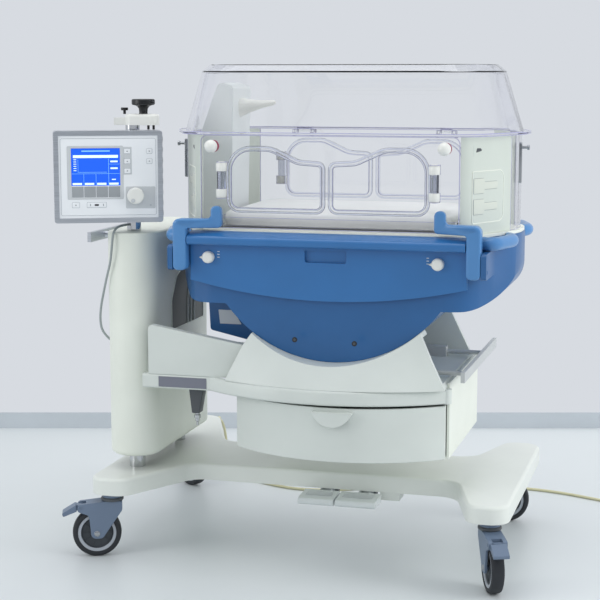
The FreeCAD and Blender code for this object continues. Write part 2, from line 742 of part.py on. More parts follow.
def make_monitor_frame():
    """Silver frame and back shell, hollow in front for the fascia, with the hub that turns on the mast."""
    corner = MONITOR_ROUND
    shell = front_plate([(MONITOR_LEFT, MONITOR_BOTTOM, corner), (MONITOR_RIGHT, MONITOR_BOTTOM, corner),
                         (MONITOR_RIGHT, MONITOR_TOP, corner), (MONITOR_LEFT, MONITOR_TOP, corner)],
                        -MONITOR_FRONT, -MONITOR_BACK)
    inside = box(MONITOR_LEFT + MONITOR_WALL, MONITOR_RIGHT - MONITOR_WALL, -MONITOR_FRONT - 1,
                 -MONITOR_FRONT + FASCIA_DEPTH, MONITOR_BOTTOM + MONITOR_WALL, MONITOR_TOP - MONITOR_WALL)
    low = MONITOR_BOTTOM + COLLAR_TOP + GAP
    high = MONITOR_BOTTOM + COLLAR_TOP + HUB_HEIGHT
    hub = rod((0, 0, low), (0, 0, high), MAST_R + 8).fuse(box(-22, 22, -MONITOR_BACK, 0, low, high))
    hub = hub.cut(rod((0, 0, low - 1), (0, 0, high + 1), MAST_R + FIT))
    return turned_monitor(shell.cut(inside).fuse(hub))


def make_monitor_fascia():
    """Front panel with the knob's shaft hole."""
    front = box(MONITOR_LEFT + MONITOR_WALL, MONITOR_RIGHT - MONITOR_WALL, -MONITOR_FRONT + FASCIA_SET,
                -MONITOR_FRONT + FASCIA_DEPTH, MONITOR_BOTTOM + MONITOR_WALL, MONITOR_TOP - MONITOR_WALL)
    back = -MONITOR_FRONT + FASCIA_SET + SCREEN_SET + SCREEN_DEPTH
    recess = box(SCREEN_LEFT, SCREEN_RIGHT, -MONITOR_FRONT, back, SCREEN_BOTTOM, SCREEN_TOP)
    hole = rod((KNOB_U, -MONITOR_FRONT, KNOB_Z), (KNOB_U, -MONITOR_FRONT + FASCIA_DEPTH, KNOB_Z),
               KNOB_SHAFT_R + FIT)
    return turned_monitor(front.cut(recess).cut(hole))


def make_monitor_screen():
    """Screen set into the fascia."""
    front = -MONITOR_FRONT + FASCIA_SET + SCREEN_SET
    back = front + SCREEN_DEPTH
    return turned_monitor(box(SCREEN_LEFT, SCREEN_RIGHT, front, back, SCREEN_BOTTOM, SCREEN_TOP))


def make_monitor_knob():
    """Rotary knob whose shaft turns in the fascia."""
    front = -MONITOR_FRONT - KNOB_LENGTH
    knob = rod((KNOB_U, front, KNOB_Z), (KNOB_U, -MONITOR_FRONT + FASCIA_SET - GAP, KNOB_Z), KNOB_R)
    knob = soften(knob, 3, lambda e: abs(e.CenterOfMass.y - front) < 1e-6 and len(e.Vertexes) == 1)
    shaft = rod((KNOB_U, -MONITOR_FRONT, KNOB_Z), (KNOB_U, -MONITOR_FRONT + FASCIA_DEPTH - 1, KNOB_Z),
                KNOB_SHAFT_R)
    return turned_monitor(knob.fuse(shaft))


def make_mast_clamp():
    """Cream clamp head on top of the mast, with a jaw block on its left."""
    top = CLAMP_BOTTOM + CLAMP_HEIGHT
    head = plan_plate([(CLAMP_X - CLAMP_HALF, POST_Y - CLAMP_HALF_DEPTH, 20),
                       (CLAMP_X + CLAMP_HALF, POST_Y - CLAMP_HALF_DEPTH, 20),
                       (CLAMP_X + CLAMP_HALF, POST_Y + CLAMP_HALF_DEPTH, 20),
                       (CLAMP_X - CLAMP_HALF, POST_Y + CLAMP_HALF_DEPTH, 20)], CLAMP_BOTTOM, top)
    head = soften(head, 8, at_height(top))
    head = head.fuse(box(CLAMP_X - CLAMP_HALF - 30, CLAMP_X - CLAMP_HALF + 10, POST_Y - 14, POST_Y + 14,
                         CLAMP_BOTTOM, CLAMP_BOTTOM + 18))
    head = head.cut(rod((POST_X, POST_Y, CLAMP_BOTTOM - 1), (POST_X, POST_Y, MAST_TOP), MAST_R))
    return head.cut(rod((CLAMP_KNOB_X, POST_Y, top - 14 - GAP), (CLAMP_KNOB_X, POST_Y, top + 1),
                        CLAMP_STEM_R + FIT))


def make_clamp_knob():
    """Black clamping knob on its screw stem."""
    top = CLAMP_BOTTOM + CLAMP_HEIGHT
    x = CLAMP_KNOB_X
    stem = rod((x, POST_Y, top - 14), (x, POST_Y, top + CLAMP_KNOB_RISE), CLAMP_STEM_R)
    z0, z1 = top + CLAMP_KNOB_RISE, top + CLAMP_KNOB_RISE + CLAMP_KNOB_THICK
    disc = rod((x, POST_Y, z0), (x, POST_Y, z1), CLAMP_KNOB_R)
    disc = soften(disc, 6, lambda e: len(e.Vertexes) == 1)
    return disc.fuse(stem)


# Cradle, bumper and drawer

def bowed_outline(left, right, side_y, bow_y, back_y, z):
    """Plan edges of a piece whose front bows out between two straight sides."""
    return [
        arc((left, side_y, z), (BOW_X, bow_y, z), (right, side_y, z)),
        line((right, side_y, z), (right, back_y, z)),
        line((right, back_y, z), (left, back_y, z)),
        line((left, back_y, z), (left, side_y, z)),
    ]


def cradle_tips():
    """Where the cradle's front edge meets the rocker's circle, left and right."""
    radius = ROCK_R + ROCK_GAP
    left, right = math.radians(CRADLE_LEFT_TIP), math.radians(CRADLE_RIGHT_TIP)
    return ((ROCK_X - radius * math.sin(left), ROCK_Z - radius * math.cos(left)),
            (ROCK_X + radius * math.sin(right), ROCK_Z - radius * math.cos(right)))


def cradle_flare(inset, z0, z1, back_y):
    """Ruled body from the bowed foot to the flat top edge, wider than the cradle."""
    left, right = CRADLE_LOW_LEFT_X - 60, CRADLE_LOW_RIGHT_X + 40
    foot = bowed_outline(left, right, BUMPER_SIDE_Y + inset, BOW_Y + 6 + inset, back_y, z0)
    head = bowed_outline(left, right, CRADLE_FRONT_Y + inset, CRADLE_FRONT_Y - 1 + inset, back_y, z1)
    return Part.makeLoft([Part.Wire(foot), Part.Wire(head)], True, True)


def make_cradle():
    """White saddle under the rocker: flared apron, saddle ledge, floor, rear plate and column arm."""
    (left_x, left_z), (right_x, right_z) = cradle_tips()
    top = max(left_z, right_z) + 6
    floor_z = BUMPER_TOP + CRADLE_FLOOR
    flare = cradle_flare(0, BUMPER_TOP, top, CRADLE_REAR_Y)
    silhouette = front_plate([
        (CRADLE_LOW_LEFT_X, BUMPER_TOP, 0), (CRADLE_LOW_RIGHT_X, BUMPER_TOP, 0),
        (CRADLE_LOW_RIGHT_X, BUMPER_TOP + 6, 0), (right_x, right_z, 0), (right_x - 20, top, 0),
        (left_x + 20, top, 0), (left_x, left_z, 0), (left_x - 20, left_z - 30, 0),
    ], BOW_Y - 20, CRADLE_REAR_Y + 1)
    front = (ROCK_X, BOW_Y - 30, ROCK_Z)
    saddle = rod(front, (ROCK_X, CRADLE_REAR_Y + 1, ROCK_Z), ROCK_R + ROCK_GAP)
    ledge = rod(front, (ROCK_X, CRADLE_FRONT_Y + SADDLE_DEPTH, ROCK_Z), ROCK_R + ROCK_GAP + SADDLE_WALL)
    hollow = cradle_flare(CRADLE_WALL, BUMPER_TOP, top + 1, CRADLE_REAR_Y - CRADLE_WALL)
    hollow = hollow.cut(box(-600, 600, BOW_Y, CRADLE_REAR_Y, BUMPER_TOP - 1, floor_z)).cut(ledge)
    body = flare.common(silhouette).cut(hollow)
    near = POST_X + COLUMN_HALF
    arm = front_plate([(near, BUMPER_TOP, 0), (ARM_RIGHT_X, BUMPER_TOP, 0), (ARM_RIGHT_X, ARM_TOP_RIGHT, 0),
                       (near, ARM_TOP_LEFT, 10)], BUMPER_SIDE_Y + 2, BUMPER_SIDE_Y + 2 + ARM_THICK)
    arm = arm.fuse(box(near, CRADLE_LOW_LEFT_X + 30, BUMPER_SIDE_Y + 2, CRADLE_REAR_Y, BUMPER_TOP, floor_z))
    return body.fuse(arm).cut(saddle)


def make_bumper():
    """Bumper bar: straight by the column, then bowed round the drawer, with a round right end."""
    z = BUMPER_BOTTOM
    side, bow = BUMPER_SIDE_Y, BOW_Y
    back_side, back_bow = side + BUMPER_DEPTH, bow + BUMPER_DEPTH
    end_x = BUMPER_RIGHT_X - BUMPER_DEPTH / 2
    edges = [
        line((BUMPER_LEFT_X, side, z), (BUMPER_BEND_X, side, z)),
        arc((BUMPER_BEND_X, side, z), (BOW_X, bow, z), (end_x, side, z)),
        arc((end_x, side, z), (BUMPER_RIGHT_X, side + BUMPER_DEPTH / 2, z), (end_x, back_side, z)),
        arc((end_x, back_side, z), (BOW_X, back_bow, z), (BUMPER_BEND_X, back_side, z)),
        line((BUMPER_BEND_X, back_side, z), (BUMPER_LEFT_X, back_side, z)),
        line((BUMPER_LEFT_X, back_side, z), (BUMPER_LEFT_X, side, z)),
    ]
    bar = curve_plate(edges, Vector(0, 0, BUMPER_TOP - BUMPER_BOTTOM))
    long_runs = [edge for edge in bar.Edges if edge.Length > 2 * BUMPER_DEPTH]
    bar = bar.makeFillet(BUMPER_ROUND, long_runs)
    nose = plan_plate(column_outline(0), COLUMN_BOTTOM, COLUMN_TOP)
    notch = box(INSERT_LEFT_X, BUMPER_BEND_X - 9, side - 1, side + INSERT_DEPTH,
                BUMPER_BOTTOM + INSERT_MARGIN, BUMPER_TOP - INSERT_MARGIN)
    return bar.cut(nose).cut(notch)


def make_bumper_insert():
    """Grey strip let into the straight part of the bumper."""
    return box(INSERT_LEFT_X, BUMPER_BEND_X - 9, BUMPER_SIDE_Y - 1, BUMPER_SIDE_Y + INSERT_DEPTH,
               BUMPER_BOTTOM + INSERT_MARGIN, BUMPER_TOP - INSERT_MARGIN)


def make_drawer_housing():
    """Box that the drawer slides in, open in front, with a raised right side."""
    wall = HOUSING_WALL
    outer = box(HOUSING_LEFT_X, HOUSING_RIGHT_X, HOUSING_FRONT_Y, HOUSING_REAR_Y, HOUSING_BOTTOM, BUMPER_TOP)
    outer = outer.fuse(box(HOUSING_RIGHT_X - wall, HOUSING_RIGHT_X, HOUSING_FRONT_Y, HOUSING_REAR_Y,
                           BUMPER_TOP, HOUSING_SIDE_TOP))
    inside = box(HOUSING_LEFT_X + wall, HOUSING_RIGHT_X - wall, HOUSING_FRONT_Y - 1, HOUSING_REAR_Y - wall,
                 HOUSING_BOTTOM + wall, BUMPER_TOP - wall)
    return outer.cut(inside)


def drawer_back_y():
    """Rear face of the drawer's front."""
    return HOUSING_FRONT_Y - GAP


def make_drawer():
    """Tray with a bowed front and a half-moon pull, open on top."""
    front_y = BUMPER_SIDE_Y + DRAWER_SETBACK
    bow = BOW_Y + DRAWER_SETBACK
    z0 = HOUSING_BOTTOM + 2
    left, right = HOUSING_LEFT_X, HOUSING_RIGHT_X - 8
    front = curve_plate(bowed_outline(left, right, front_y, bow, drawer_back_y(), z0),
                        Vector(0, 0, DRAWER_TOP - z0))
    side = HOUSING_WALL + DRAWER_GAP
    tray_z = HOUSING_BOTTOM + HOUSING_WALL + GAP
    x0, x1 = HOUSING_LEFT_X + side, HOUSING_RIGHT_X - side
    rear = HOUSING_REAR_Y - side
    tray = box(x0, x1, drawer_back_y() - 1, rear, tray_z, DRAWER_TOP)
    wall, face = DRAWER_WALL, DRAWER_FRONT_WALL
    well = curve_plate(bowed_outline(x0 + wall, x1 - wall, front_y + face, bow + face, rear - wall,
                                     tray_z + wall), Vector(0, 0, DRAWER_TOP))
    return front.fuse(tray).cut(well).fuse(drawer_pull(bow))


def drawer_pull(bow):
    """Half-moon pull, hollow behind its rim."""
    top = DRAWER_TOP - 8
    lip = bow - GRIP_REACH
    left, right = (GRIP_X - GRIP_HALF, lip, top), (GRIP_X + GRIP_HALF, lip, top)
    moon = [line(left, right), arc(right, (GRIP_X, lip, top - GRIP_DROP), left)]
    grip = curve_plate(moon, Vector(0, GRIP_REACH + 5, 0))
    hollow = box(GRIP_X - GRIP_HALF + 12, GRIP_X + GRIP_HALF - 12, lip + 4, bow + 2,
                 top - GRIP_DROP - 1, top - 5)
    return grip.cut(hollow)


def make_line_hook():
    """Dark bracket under the arm with a hook for leads."""
    plate_y = HOOK_Y - 3
    bracket = box(HOOK_X - HOOK_HALF, HOOK_X + HOOK_HALF, plate_y, HOOK_Y + 3, HOOK_BOTTOM, BUMPER_TOP)
    tip, root = HOOK_Y - HOOK_REACH, HOOK_Y + 3
    top = HOOK_BOTTOM + HOOK_LIP
    lip = side_plate([(tip, HOOK_BOTTOM, 4), (root, HOOK_BOTTOM, 4), (root, HOOK_BOTTOM + HOOK_THICK, 0),
                      (tip + HOOK_THICK, HOOK_BOTTOM + HOOK_THICK, 4), (tip + HOOK_THICK, top, 3),
                      (tip, top, 3)], HOOK_X - 9, HOOK_X + 9)
    return bracket.fuse(lip)


def make_right_rail():
    """Equipment rail beyond the cradle's right end, on two rods held by blocks on its floor."""
    rail = box(RIGHT_RAIL_X, RIGHT_RAIL_X + RAIL_THICK, RIGHT_RAIL_FRONT_Y, RIGHT_RAIL_REAR_Y,
               RIGHT_RAIL_BOTTOM, RIGHT_RAIL_BOTTOM + RAIL_HEIGHT)
    z = RIGHT_RAIL_BOTTOM + RAIL_HEIGHT / 2
    floor = BUMPER_TOP + CRADLE_FLOOR
    for y in RAIL_ROD_YS:
        rail = rail.fuse(rod((RAIL_ROD_INNER_X, y, z), (RIGHT_RAIL_X + 2, y, z), RAIL_ROD_R))
        rail = rail.fuse(box(RAIL_ROD_INNER_X - 10, RAIL_ROD_INNER_X + 40, y - 14, y + 14, floor, z + 14))
    return rail


# Tub

def tub_profile(inset):
    """Front view of the tub: flat bottom, ends rounded up."""
    half, bottom, top = TUB_MID - inset, TUB_BOTTOM + inset, TUB_TOP
    turn = TUB_END_ROUND - inset
    return [(BODY_X - half, bottom, turn), (BODY_X + half, bottom, turn),
            (BODY_X + half, top + 10, 0), (BODY_X - half, top + 10, 0)]


def tub_body(inset):
    """Tub solid at an inset: its front view crossed with its plan."""
    depth = TUB_DEPTH - inset
    bulk = front_plate(tub_profile(inset), BODY_Y - depth, BODY_Y + depth)
    plan = plan_plate(body_outline(TUB_MID - inset, TUB_END - inset, depth), TUB_BOTTOM, TUB_TOP)
    return bulk.common(plan)


def rocker_body(inset):
    """Round keel at an inset, below the tub's own floor."""
    front = BODY_Y - TUB_DEPTH + inset
    drum = rod((ROCK_X, front, ROCK_Z), (ROCK_X, ROCKER_REAR_Y - inset, ROCK_Z), ROCK_R - inset)
    above = box(ROCK_X - 400, ROCK_X + 400, front - 1, ROCKER_REAR_Y + 1, TUB_BOTTOM + 12, ROCK_Z + 400)
    return drum.cut(above)


def make_tub():
    """Blue tub with its round keel, a service box on the left and the cheeks for the door's pivots."""
    shell = tub_body(0).fuse(rocker_body(0))
    top = TUB_BOTTOM + 30
    service = front_plate([(SERVICE_LEFT_X, top, 0), (SERVICE_LEFT_X + 6, SERVICE_BOTTOM + SERVICE_SLOPE, 8),
                           (SERVICE_RIGHT_X - 50, SERVICE_BOTTOM, 8),
                           (SERVICE_RIGHT_X, SERVICE_BOTTOM + 12, 0), (SERVICE_RIGHT_X, top, 0)],
                          SERVICE_FRONT_Y, SERVICE_REAR_Y)
    low, high = DOOR_PIVOT_Z - CHEEK_DROP, HANDLE_Z - HANDLE_R - 2
    front, rear = DOOR_PIVOT_Y - 15, BODY_Y - OUTLINE_FLAT
    shell = shell.fuse(service)
    for side in (-1, 1):
        a, b = sorted((BODY_X + side * CHEEK_INNER, BODY_X + side * (CHEEK_INNER + CHEEK_WIDTH)))
        cheek = [(front, low, 10), (rear, low, 0), (rear, high, 0), (front, high, 10)]
        shell = shell.fuse(side_plate(cheek, a, b))
    shell = shell.cut(tub_body(TUB_WALL)).cut(rocker_body(ROCKER_WALL))
    reach = CHEEK_INNER + CHEEK_WIDTH + 1
    for side in (-1, 1):
        shell = shell.cut(rod((BODY_X + side * (CHEEK_INNER - 1), DOOR_PIVOT_Y, DOOR_PIVOT_Z),
                              (BODY_X + side * reach, DOOR_PIVOT_Y, DOOR_PIVOT_Z), DOOR_PIN_R + FIT))
    return shell


def panel_edges(y):
    """Front-view edges of the upper panel: straight top, curved crease below."""
    left, right = BODY_X - PANEL_HALF, BODY_X + PANEL_HALF
    return [
        line((left, y, RAIL_BOTTOM), (right, y, RAIL_BOTTOM)),
        line((right, y, RAIL_BOTTOM), (right, y, CREASE_RIGHT_Z)),
        arc((right, y, CREASE_RIGHT_Z), (BODY_X, y, CREASE_MID_Z), (left, y, CREASE_LEFT_Z)),
        line((left, y, CREASE_LEFT_Z), (left, y, RAIL_BOTTOM)),
    ]


def make_front_panel():
    """Upper front panel with a grab rail on top, a finger recess and the selector bores."""
    front = BODY_Y - TUB_DEPTH
    panel = curve_plate(panel_edges(front - PANEL_THICK), Vector(0, PANEL_THICK, 0))
    for x in SELECTOR_XS.values():
        panel = panel.cut(rod((x, front - PANEL_THICK - 1, SELECTOR_Z), (x, front - 2, SELECTOR_Z),
                              SELECTOR_SHAFT_R + FIT))
    left, right = BODY_X - RECESS_HALF, BODY_X + RECESS_HALF
    recess = front_plate([(left, RECESS_BOTTOM, 6), (right, RECESS_BOTTOM, 6), (right, RECESS_TOP, 3),
                          (left, RECESS_TOP, 3)], front - PANEL_THICK - 1, front - 3)
    profile = [(RAIL_FRONT_Y, RAIL_BOTTOM, 8), (RAIL_FRONT_Y, RAIL_BOTTOM + 20, 10),
               (RAIL_FRONT_Y + 22, RAIL_TOP - 6, 10), (front, RAIL_TOP - 2, 0), (front, RAIL_BOTTOM, 0)]
    rail = side_plate(profile, BODY_X - PANEL_HALF, BODY_X + PANEL_HALF)
    return panel.cut(recess).fuse(rail)


def make_corner_handles():
    """Four looped carrying handles at the tub's corners."""
    local = [(TUB_END + 5, 57 - TUB_DEPTH), (TUB_END + 55, 12 - TUB_DEPTH),
             (HANDLE_REACH - 20, 62 - TUB_DEPTH), (HANDLE_REACH, 132 - TUB_DEPTH),
             (HANDLE_REACH - 43, 178 - TUB_DEPTH)]
    loop, _ = tube([(BODY_X + x, BODY_Y + y, HANDLE_Z) for x, y in local], HANDLE_R)
    inside = plan_plate(body_outline(TUB_MID, TUB_END, TUB_DEPTH), HANDLE_Z - 40, HANDLE_Z + 40)
    loop = max(loop.cut(inside).Solids, key=lambda s: s.Volume)
    right = [loop, mirrored_y(loop)]
    return Part.makeCompound(right + [mirrored_x(h) for h in right])


def make_tilt_knob(name):
    """Selector knob with a pointer, on a shaft in the front panel."""
    x = SELECTOR_XS[name]
    front = BODY_Y - TUB_DEPTH - PANEL_THICK
    disc = rod((x, front - SELECTOR_THICK, SELECTOR_Z), (x, front - GAP, SELECTOR_Z), SELECTOR_R)
    pointer = front_plate([(x - 22, SELECTOR_Z, 1), (x - 8, SELECTOR_Z - 9, 0), (x - 8, SELECTOR_Z + 9, 0)],
                          front - SELECTOR_THICK, front - GAP)
    shaft = rod((x, front - GAP, SELECTOR_Z), (x, front + PANEL_THICK - 3, SELECTOR_Z), SELECTOR_SHAFT_R)
    return disc.fuse(pointer).fuse(shaft)


# Deck, tray and mattress

def make_deck():
    """Deck plate that closes the tub, with the fan's motor and shaft below it."""
    deck = plan_plate(body_outline(TUB_MID - 2, TUB_END - 2, TUB_DEPTH - 2), TUB_TOP, DECK_TOP)
    motor_z = TUB_TOP - MOTOR_HEIGHT
    deck = deck.fuse(rod((BODY_X, BODY_Y, TUB_TOP), (BODY_X, BODY_Y, motor_z), MOTOR_R))
    return deck.fuse(rod((BODY_X, BODY_Y, motor_z), (BODY_X, BODY_Y, motor_z - FAN_HEIGHT + 3), FAN_SHAFT_R))


def make_fan_wheel():
    """Radial fan wheel that turns on the motor's shaft."""
    top = TUB_TOP - MOTOR_HEIGHT - GAP
    bottom = top - FAN_HEIGHT
    wheel = rod((BODY_X, BODY_Y, bottom), (BODY_X, BODY_Y, top), FAN_HUB_R)
    wheel = wheel.fuse(rod((BODY_X, BODY_Y, bottom), (BODY_X, BODY_Y, bottom + 3), FAN_R))
    for i in range(FAN_BLADES):
        blade = box(BODY_X + FAN_HUB_R + 16, BODY_X + FAN_R - 1, BODY_Y - 1.5, BODY_Y + 1.5, bottom, top - 4)
        blade.rotate(Vector(BODY_X, BODY_Y, 0), Vector(0, 0, 1), i * 360 / FAN_BLADES)
        wheel = wheel.fuse(blade)
    return wheel.cut(rod((BODY_X, BODY_Y, bottom + 2), (BODY_X, BODY_Y, top + 1), FAN_SHAFT_R + FIT))


def tray_outline(inset):
    """Rounded rectangle of the tray at an inset."""
    x, y, corner = TRAY_HALF_X - inset, TRAY_HALF_Y - inset, TRAY_ROUND - inset
    return [(BODY_X - x, BODY_Y - y, corner), (BODY_X + x, BODY_Y - y, corner),
            (BODY_X + x, BODY_Y + y, corner), (BODY_X - x, BODY_Y + y, corner)]


def make_mattress_tray():
    """Shallow tray on the deck."""
    outer = plan_plate(tray_outline(0), DECK_TOP, DECK_TOP + TRAY_HEIGHT)
    return outer.cut(plan_plate(tray_outline(TRAY_WALL), DECK_TOP + TRAY_WALL, DECK_TOP + TRAY_HEIGHT + 1))


def make_mattress():
    """Foam mattress in the tray."""
    z0 = DECK_TOP + TRAY_WALL
    z1 = z0 + MATTRESS_THICK
    return soften(plan_plate(tray_outline(TRAY_WALL + MATTRESS_GAP), z0, z1), MATTRESS_ROUND, at_height(z1))


# Hood walls

def wall_ring(z0, z1, thick):
    """Closed ring wall of the hood."""
    def solid(inset, low, high):
        outline = body_outline(WALL_MID - inset, WALL_END - inset, WALL_DEPTH - inset, WALL_ROUND - inset)
        return plan_plate(outline, low, high)

    return solid(0, z0, z1).cut(solid(thick, z0 - 1, z1 + 1))


def end_slice(shape, y0, y1):
    """Part of a ring beyond the door's right end and between two depths."""
    return shape.common(box(BODY_X + DOOR_HALF + 1, BODY_X + 600, BODY_Y + y0, BODY_Y + y1, 0, 2000))


def make_end_panels():
    """Cream corner panels of both ends."""
    front = end_slice(wall_ring(DECK_TOP, HOOD_TOP, WALL_THICK), -400, -WINDOW_HALF)
    pair = [front, mirrored_y(front)]
    return Part.makeCompound(pair + [mirrored_x(p) for p in pair])


def make_end_windows():
    """Clear curved pane in the middle of each end."""
    pane = end_slice(wall_ring(DECK_TOP, HOOD_TOP, WALL_THICK - 3), -WINDOW_HALF, WINDOW_HALF)
    return Part.makeCompound([pane, mirrored_x(pane)])


def port_profile(grow):
    """Front view of the right-hand port: high at its outer side, low at the door's middle."""
    x0, x1 = BODY_X + PORT_INNER_X - grow, BODY_X + PORT_OUTER_X + grow
    z0, high, low = PORT_BOTTOM - grow, PORT_HIGH + grow, PORT_LOW + grow
    return [(x0, z0, 14 + grow), (x1, z0, 22 + grow), (x1, high, 52 + grow), (x0 + 130, high, 60),
            (x0 + 60, low + 4, 60), (x0, low, 10 + grow)]


def make_door():
    """Front wall that folds down, with two port holes and the ports' hinge cups."""
    door = front_plate([(BODY_X - DOOR_HALF, DOOR_BOTTOM, 4), (BODY_X + DOOR_HALF, DOOR_BOTTOM, 4),
                        (BODY_X + DOOR_HALF, DOOR_TOP, 16), (BODY_X - DOOR_HALF, DOOR_TOP, 16)],
                       DOOR_FRONT_Y, DOOR_FRONT_Y + DOOR_THICK)
    hole = front_plate(port_profile(0), DOOR_FRONT_Y - 1, DOOR_FRONT_Y + DOOR_THICK + 1)
    door = door.cut(hole).cut(mirrored_x(hole))
    for side in (-1, 1):
        x = BODY_X + side * BALL_X
        door = door.cut(rod((x, DOOR_FRONT_Y - 1, BALL_Z), (x, DOOR_FRONT_Y + DOOR_THICK + 1, BALL_Z),
                            BALL_SPINDLE_R + FIT))
    for cup in hinge_cups():
        door = door.fuse(cup)
    return door


def make_rear_wall():
    """Fixed rear wall with two port holes, their hinge cups and the canopy's hinge brackets."""
    y = BODY_Y + WALL_DEPTH - DOOR_THICK
    wall = box(BODY_X - DOOR_HALF - 1, BODY_X + DOOR_HALF + 1, y, y + DOOR_THICK, DECK_TOP, HOOD_TOP)
    hole = front_plate(port_profile(0), y - 1, y + DOOR_THICK + 1)
    wall = wall.cut(hole).cut(mirrored_x(hole))
    for piece in [rear_shifted(cup) for cup in hinge_cups()] + canopy_brackets():
        wall = wall.fuse(piece)
    return wall


def right_front_port():
    """Right-hand port pane with its hinge knuckle."""
    y = DOOR_FRONT_Y - GAP
    hinge_y = y - HINGE_R
    pane = front_plate(port_profile(PORT_LAP), y - PORT_THICK, y)
    x = BODY_X + HINGE_X
    mid = (HINGE_BOTTOM + HINGE_TOP) / 2
    quarter = (HINGE_TOP - HINGE_BOTTOM) / 4
    knuckle = rod((x, hinge_y, mid - quarter + GAP), (x, hinge_y, mid + quarter - GAP), HINGE_R - 2)
    leaf = box(BODY_X + PORT_OUTER_X, x, y - PORT_THICK, y, mid - quarter + GAP, mid + quarter - GAP)
    pin = rod((x, hinge_y, HINGE_BOTTOM + 4), (x, hinge_y, HINGE_TOP - 4), HINGE_PIN_R)
    return pane.fuse(leaf).fuse(knuckle).fuse(pin)


def right_front_barrels():
    """Fixed hinge cups above and below the right-hand port's knuckle."""
    hinge_y = DOOR_FRONT_Y - GAP - HINGE_R
    x = BODY_X + HINGE_X
    quarter = (HINGE_TOP - HINGE_BOTTOM) / 4
    cups = []
    for z0, z1 in ((HINGE_BOTTOM, HINGE_BOTTOM + quarter), (HINGE_TOP - quarter, HINGE_TOP)):
        cup = rod((x, hinge_y, z0), (x, hinge_y, z1), HINGE_R)
        cup = cup.fuse(box(x - HINGE_R, x + HINGE_R, hinge_y, DOOR_FRONT_Y, z0, z1))
        cups.append(cup.cut(rod((x, hinge_y, HINGE_BOTTOM + 4 - FIT), (x, hinge_y, HINGE_TOP - 4 + FIT),
                                HINGE_PIN_R + FIT)))
    return cups


def rear_shifted(shape):
    """Mirror a front-door piece onto the rear wall."""
    rear_face = BODY_Y + WALL_DEPTH
    turned = mirrored_y(shape)
    turned.translate(Vector(0, rear_face - (2 * BODY_Y - DOOR_FRONT_Y), 0))
    return turned


def hinge_cups():
    """Fixed hinge cups of both front ports."""
    cups = right_front_barrels()
    return cups + [mirrored_x(c) for c in cups]


def make_port(left, rear):
    """One hinged hand port."""
    port = right_front_port()
    port = mirrored_x(port) if left else port
    return rear_shifted(port) if rear else port


def make_door_arms():
    """Blue arms that carry the door on its low pivots."""
    x0, x1 = BODY_X + ARM_X - ARM_HALF, BODY_X + ARM_X + ARM_HALF
    front = 2 * DOOR_PIVOT_Y - ARM_BACK_Y
    foot, top = DOOR_PIVOT_Z - CHEEK_DROP, ARM_SHELF_TOP
    limb = side_plate([(front, foot, CHEEK_DROP - 0.1), (ARM_BACK_Y, foot, CHEEK_DROP - 0.1),
                       (ARM_BACK_Y, top + 2, 4), (front, top - 2, 14)], x0, x1)
    grip, face = BODY_X + DOOR_HALF - ARM_GRIP, DOOR_FRONT_Y
    shelf = plan_plate([(x0 + 1, front, 0), (x1, front, 0), (x1, face, 0), (grip, face, 0),
                        (grip, face - 14, 8)], ARM_SHELF_BOTTOM, top)
    tab = plan_plate([(grip, face - 14, 5), (grip + 26, face - 18, 5), (grip + 26, face, 0), (grip, face, 0)],
                     ARM_SHELF_BOTTOM, ARM_TAB_TOP)
    pin = rod((x1 - 4, DOOR_PIVOT_Y, DOOR_PIVOT_Z),
              (BODY_X + CHEEK_INNER + CHEEK_WIDTH - 1, DOOR_PIVOT_Y, DOOR_PIVOT_Z), DOOR_PIN_R)
    arm = limb.fuse(shelf).fuse(tab).fuse(pin)
    return Part.makeCompound([arm, mirrored_x(arm)])


def make_ball_knob(left):
    """Ball-ended door latch with its spindle and inner tongue."""
    x = BODY_X + (-BALL_X if left else BALL_X)
    y = DOOR_FRONT_Y - GAP
    inside = DOOR_FRONT_Y + DOOR_THICK
    ball = Part.makeSphere(BALL_R, Vector(x, y - BALL_R - 4, BALL_Z))
    neck = rod((x, y - 9, BALL_Z), (x, y, BALL_Z), 9)
    spindle = rod((x, y, BALL_Z), (x, inside + 6, BALL_Z), BALL_SPINDLE_R)
    tongue = box(x - 6, x + 6, inside + GAP, inside + 6, BALL_Z - 24, BALL_Z + 6)
    return ball.fuse(neck).fuse(spindle).fuse(tongue)


def make_sensor_module():
    """Grey tower at the left end of the hood, leaning with the canopy's end."""
    left = TOWER_LEFT_X
    return front_plate([(left, DECK_TOP, 0), (left + TOWER_FOOT, DECK_TOP, 0),
                        (left + TOWER_FOOT + 8, TOWER_TOP - 12, 14), (left + TOWER_FOOT - 37, TOWER_TOP, 16),
                        (left + 4, TOWER_BEND_Z, 60)], TOWER_FRONT_Y, TOWER_REAR_Y)


